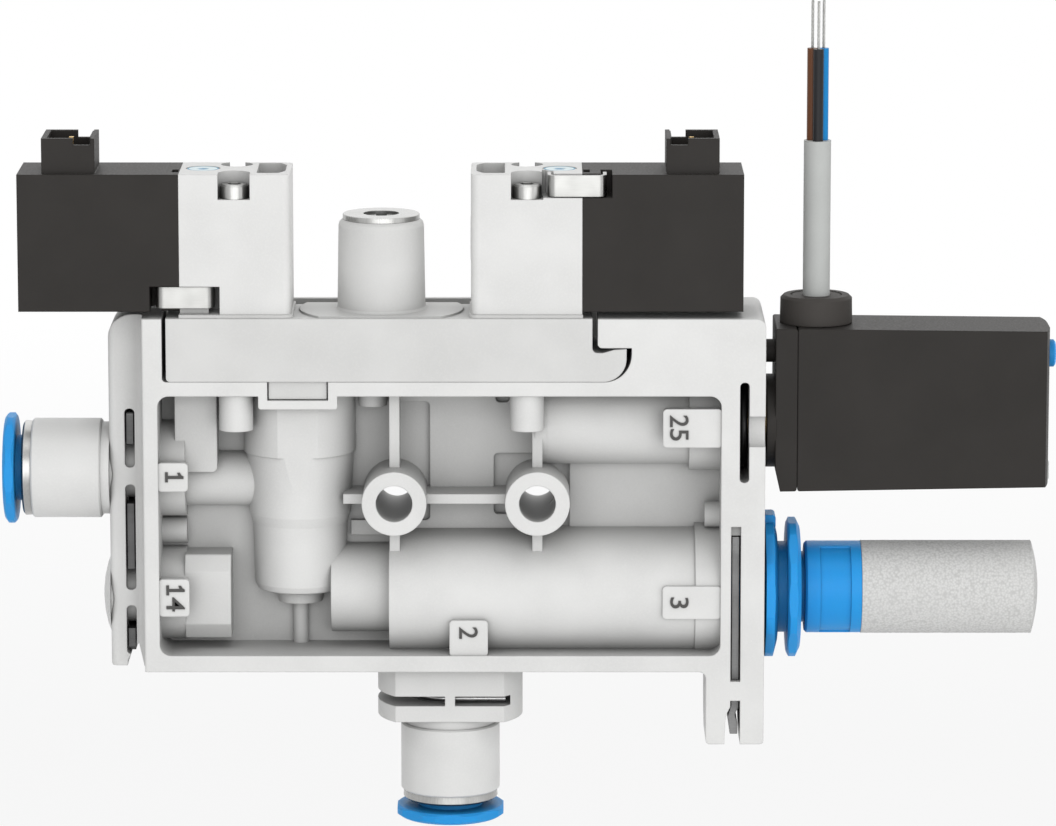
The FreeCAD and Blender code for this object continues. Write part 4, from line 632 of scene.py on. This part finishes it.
def level(share, distance, size):
    """Power of a square lamp that lights a face square to it, so far away, by that share of white."""
    half = size / (2 * distance)
    slope = half / math.hypot(1, half)
    seen = 4 / math.pi * slope * math.atan(slope)
    return share * math.pi * size ** 2 / seen


def seen_straight(tree):
    """1 for rays from the camera, from a mirror or through glass, else 0."""
    path = tree.nodes.new("ShaderNodeLightPath")
    value = path.outputs["Is Camera Ray"]
    for other in ("Is Glossy Ray", "Is Transmission Ray"):
        most = tree.nodes.new("ShaderNodeMath")
        most.operation = "MAXIMUM"
        tree.links.new(value, most.inputs[0])
        tree.links.new(path.outputs[other], most.inputs[1])
        value = most.outputs[0]
    return value


def mixed(tree, share, first, second):
    node = tree.nodes.new("ShaderNodeMixShader")
    if isinstance(share, bpy.types.NodeSocket):
        tree.links.new(share, node.inputs[0])
    else:
        node.inputs[0].default_value = share
    tree.links.new(first, node.inputs[1])
    tree.links.new(second, node.inputs[2])
    return node.outputs[0]


def world_light():
    """Soft even light, white where it is seen straight."""
    world = bpy.data.worlds.new("studio")
    bpy.context.scene.world = world
    world.use_nodes = True
    tree = world.node_tree
    tree.nodes.clear()
    soft, white = (tree.nodes.new("ShaderNodeBackground") for _ in range(2))
    soft.inputs["Strength"].default_value = SKY_SHARE
    for sky in (soft, white):
        sky.inputs["Color"].default_value = (1, 1, 1, 1)
    out = tree.nodes.new("ShaderNodeOutputWorld")
    tree.links.new(mixed(tree, seen_straight(tree), soft.outputs[0], white.outputs[0]), out.inputs[0])


def floor():
    """Round pale floor that keeps the shadow and fades into the white background."""
    ring, sides = [], 96
    for k in range(sides):
        turn = 2 * math.pi * k / sides
        ring.append((FLOOR_RADIUS * math.cos(turn), FLOOR_RADIUS * math.sin(turn), FLOOR_HEIGHT))
    mesh = bpy.data.meshes.new("studio_floor")
    mesh.from_pydata(ring, [], [tuple(range(sides))])
    disc = bpy.data.objects.new("studio_floor", mesh)
    bpy.context.scene.collection.objects.link(disc)
    paint = bpy.data.materials.new("studio_floor")
    paint.use_nodes = True
    mesh.materials.append(paint)
    tree = paint.node_tree
    tree.nodes.clear()
    matt, glow = tree.nodes.new("ShaderNodeBsdfDiffuse"), tree.nodes.new("ShaderNodeEmission")
    clear, out = tree.nodes.new("ShaderNodeBsdfTransparent"), tree.nodes.new("ShaderNodeOutputMaterial")
    matt.inputs["Color"].default_value = (FLOOR_GREY, FLOOR_GREY, FLOOR_GREY, 1)
    shown = mixed(tree, FLOOR_SHADOW, glow.outputs[0], matt.outputs[0])
    near = mixed(tree, seen_straight(tree), matt.outputs[0], shown)
    place = tree.nodes.new("ShaderNodeTexCoord")
    length = tree.nodes.new("ShaderNodeVectorMath")
    length.operation = "LENGTH"
    tree.links.new(place.outputs["Object"], length.inputs[0])
    fade = tree.nodes.new("ShaderNodeMapRange")
    fade.inputs["From Min"].default_value = FADE_START * FLOOR_RADIUS
    fade.inputs["From Max"].default_value = FADE_END * FLOOR_RADIUS
    tree.links.new(length.outputs["Value"], fade.inputs["Value"])
    tree.links.new(mixed(tree, fade.outputs[0], near, clear.outputs[0]), out.inputs[0])


def camera():
    data = bpy.data.cameras.new("camera")
    data.sensor_width, data.lens = SENSOR_WIDTH, LENS
    data.clip_start, data.clip_end = CLIP_START, CLIP_END
    holder = bpy.data.objects.new("camera", data)
    holder.location = CAMERA_PLACE
    holder.rotation_euler = (CAMERA_TILT, 0, 0)
    bpy.context.scene.collection.objects.link(holder)
    bpy.context.scene.camera = holder


def studio():
    world_light()
    for name, (place, size, share) in LAMPS.items():
        area_lamp(name, place, size, share)
    floor()
    bpy.context.scene.view_settings.view_transform = "Standard"


camera()
dress_nodes()
bay_forms()
springs()
cable()
silencer_grain()
port_numbers()
studio()
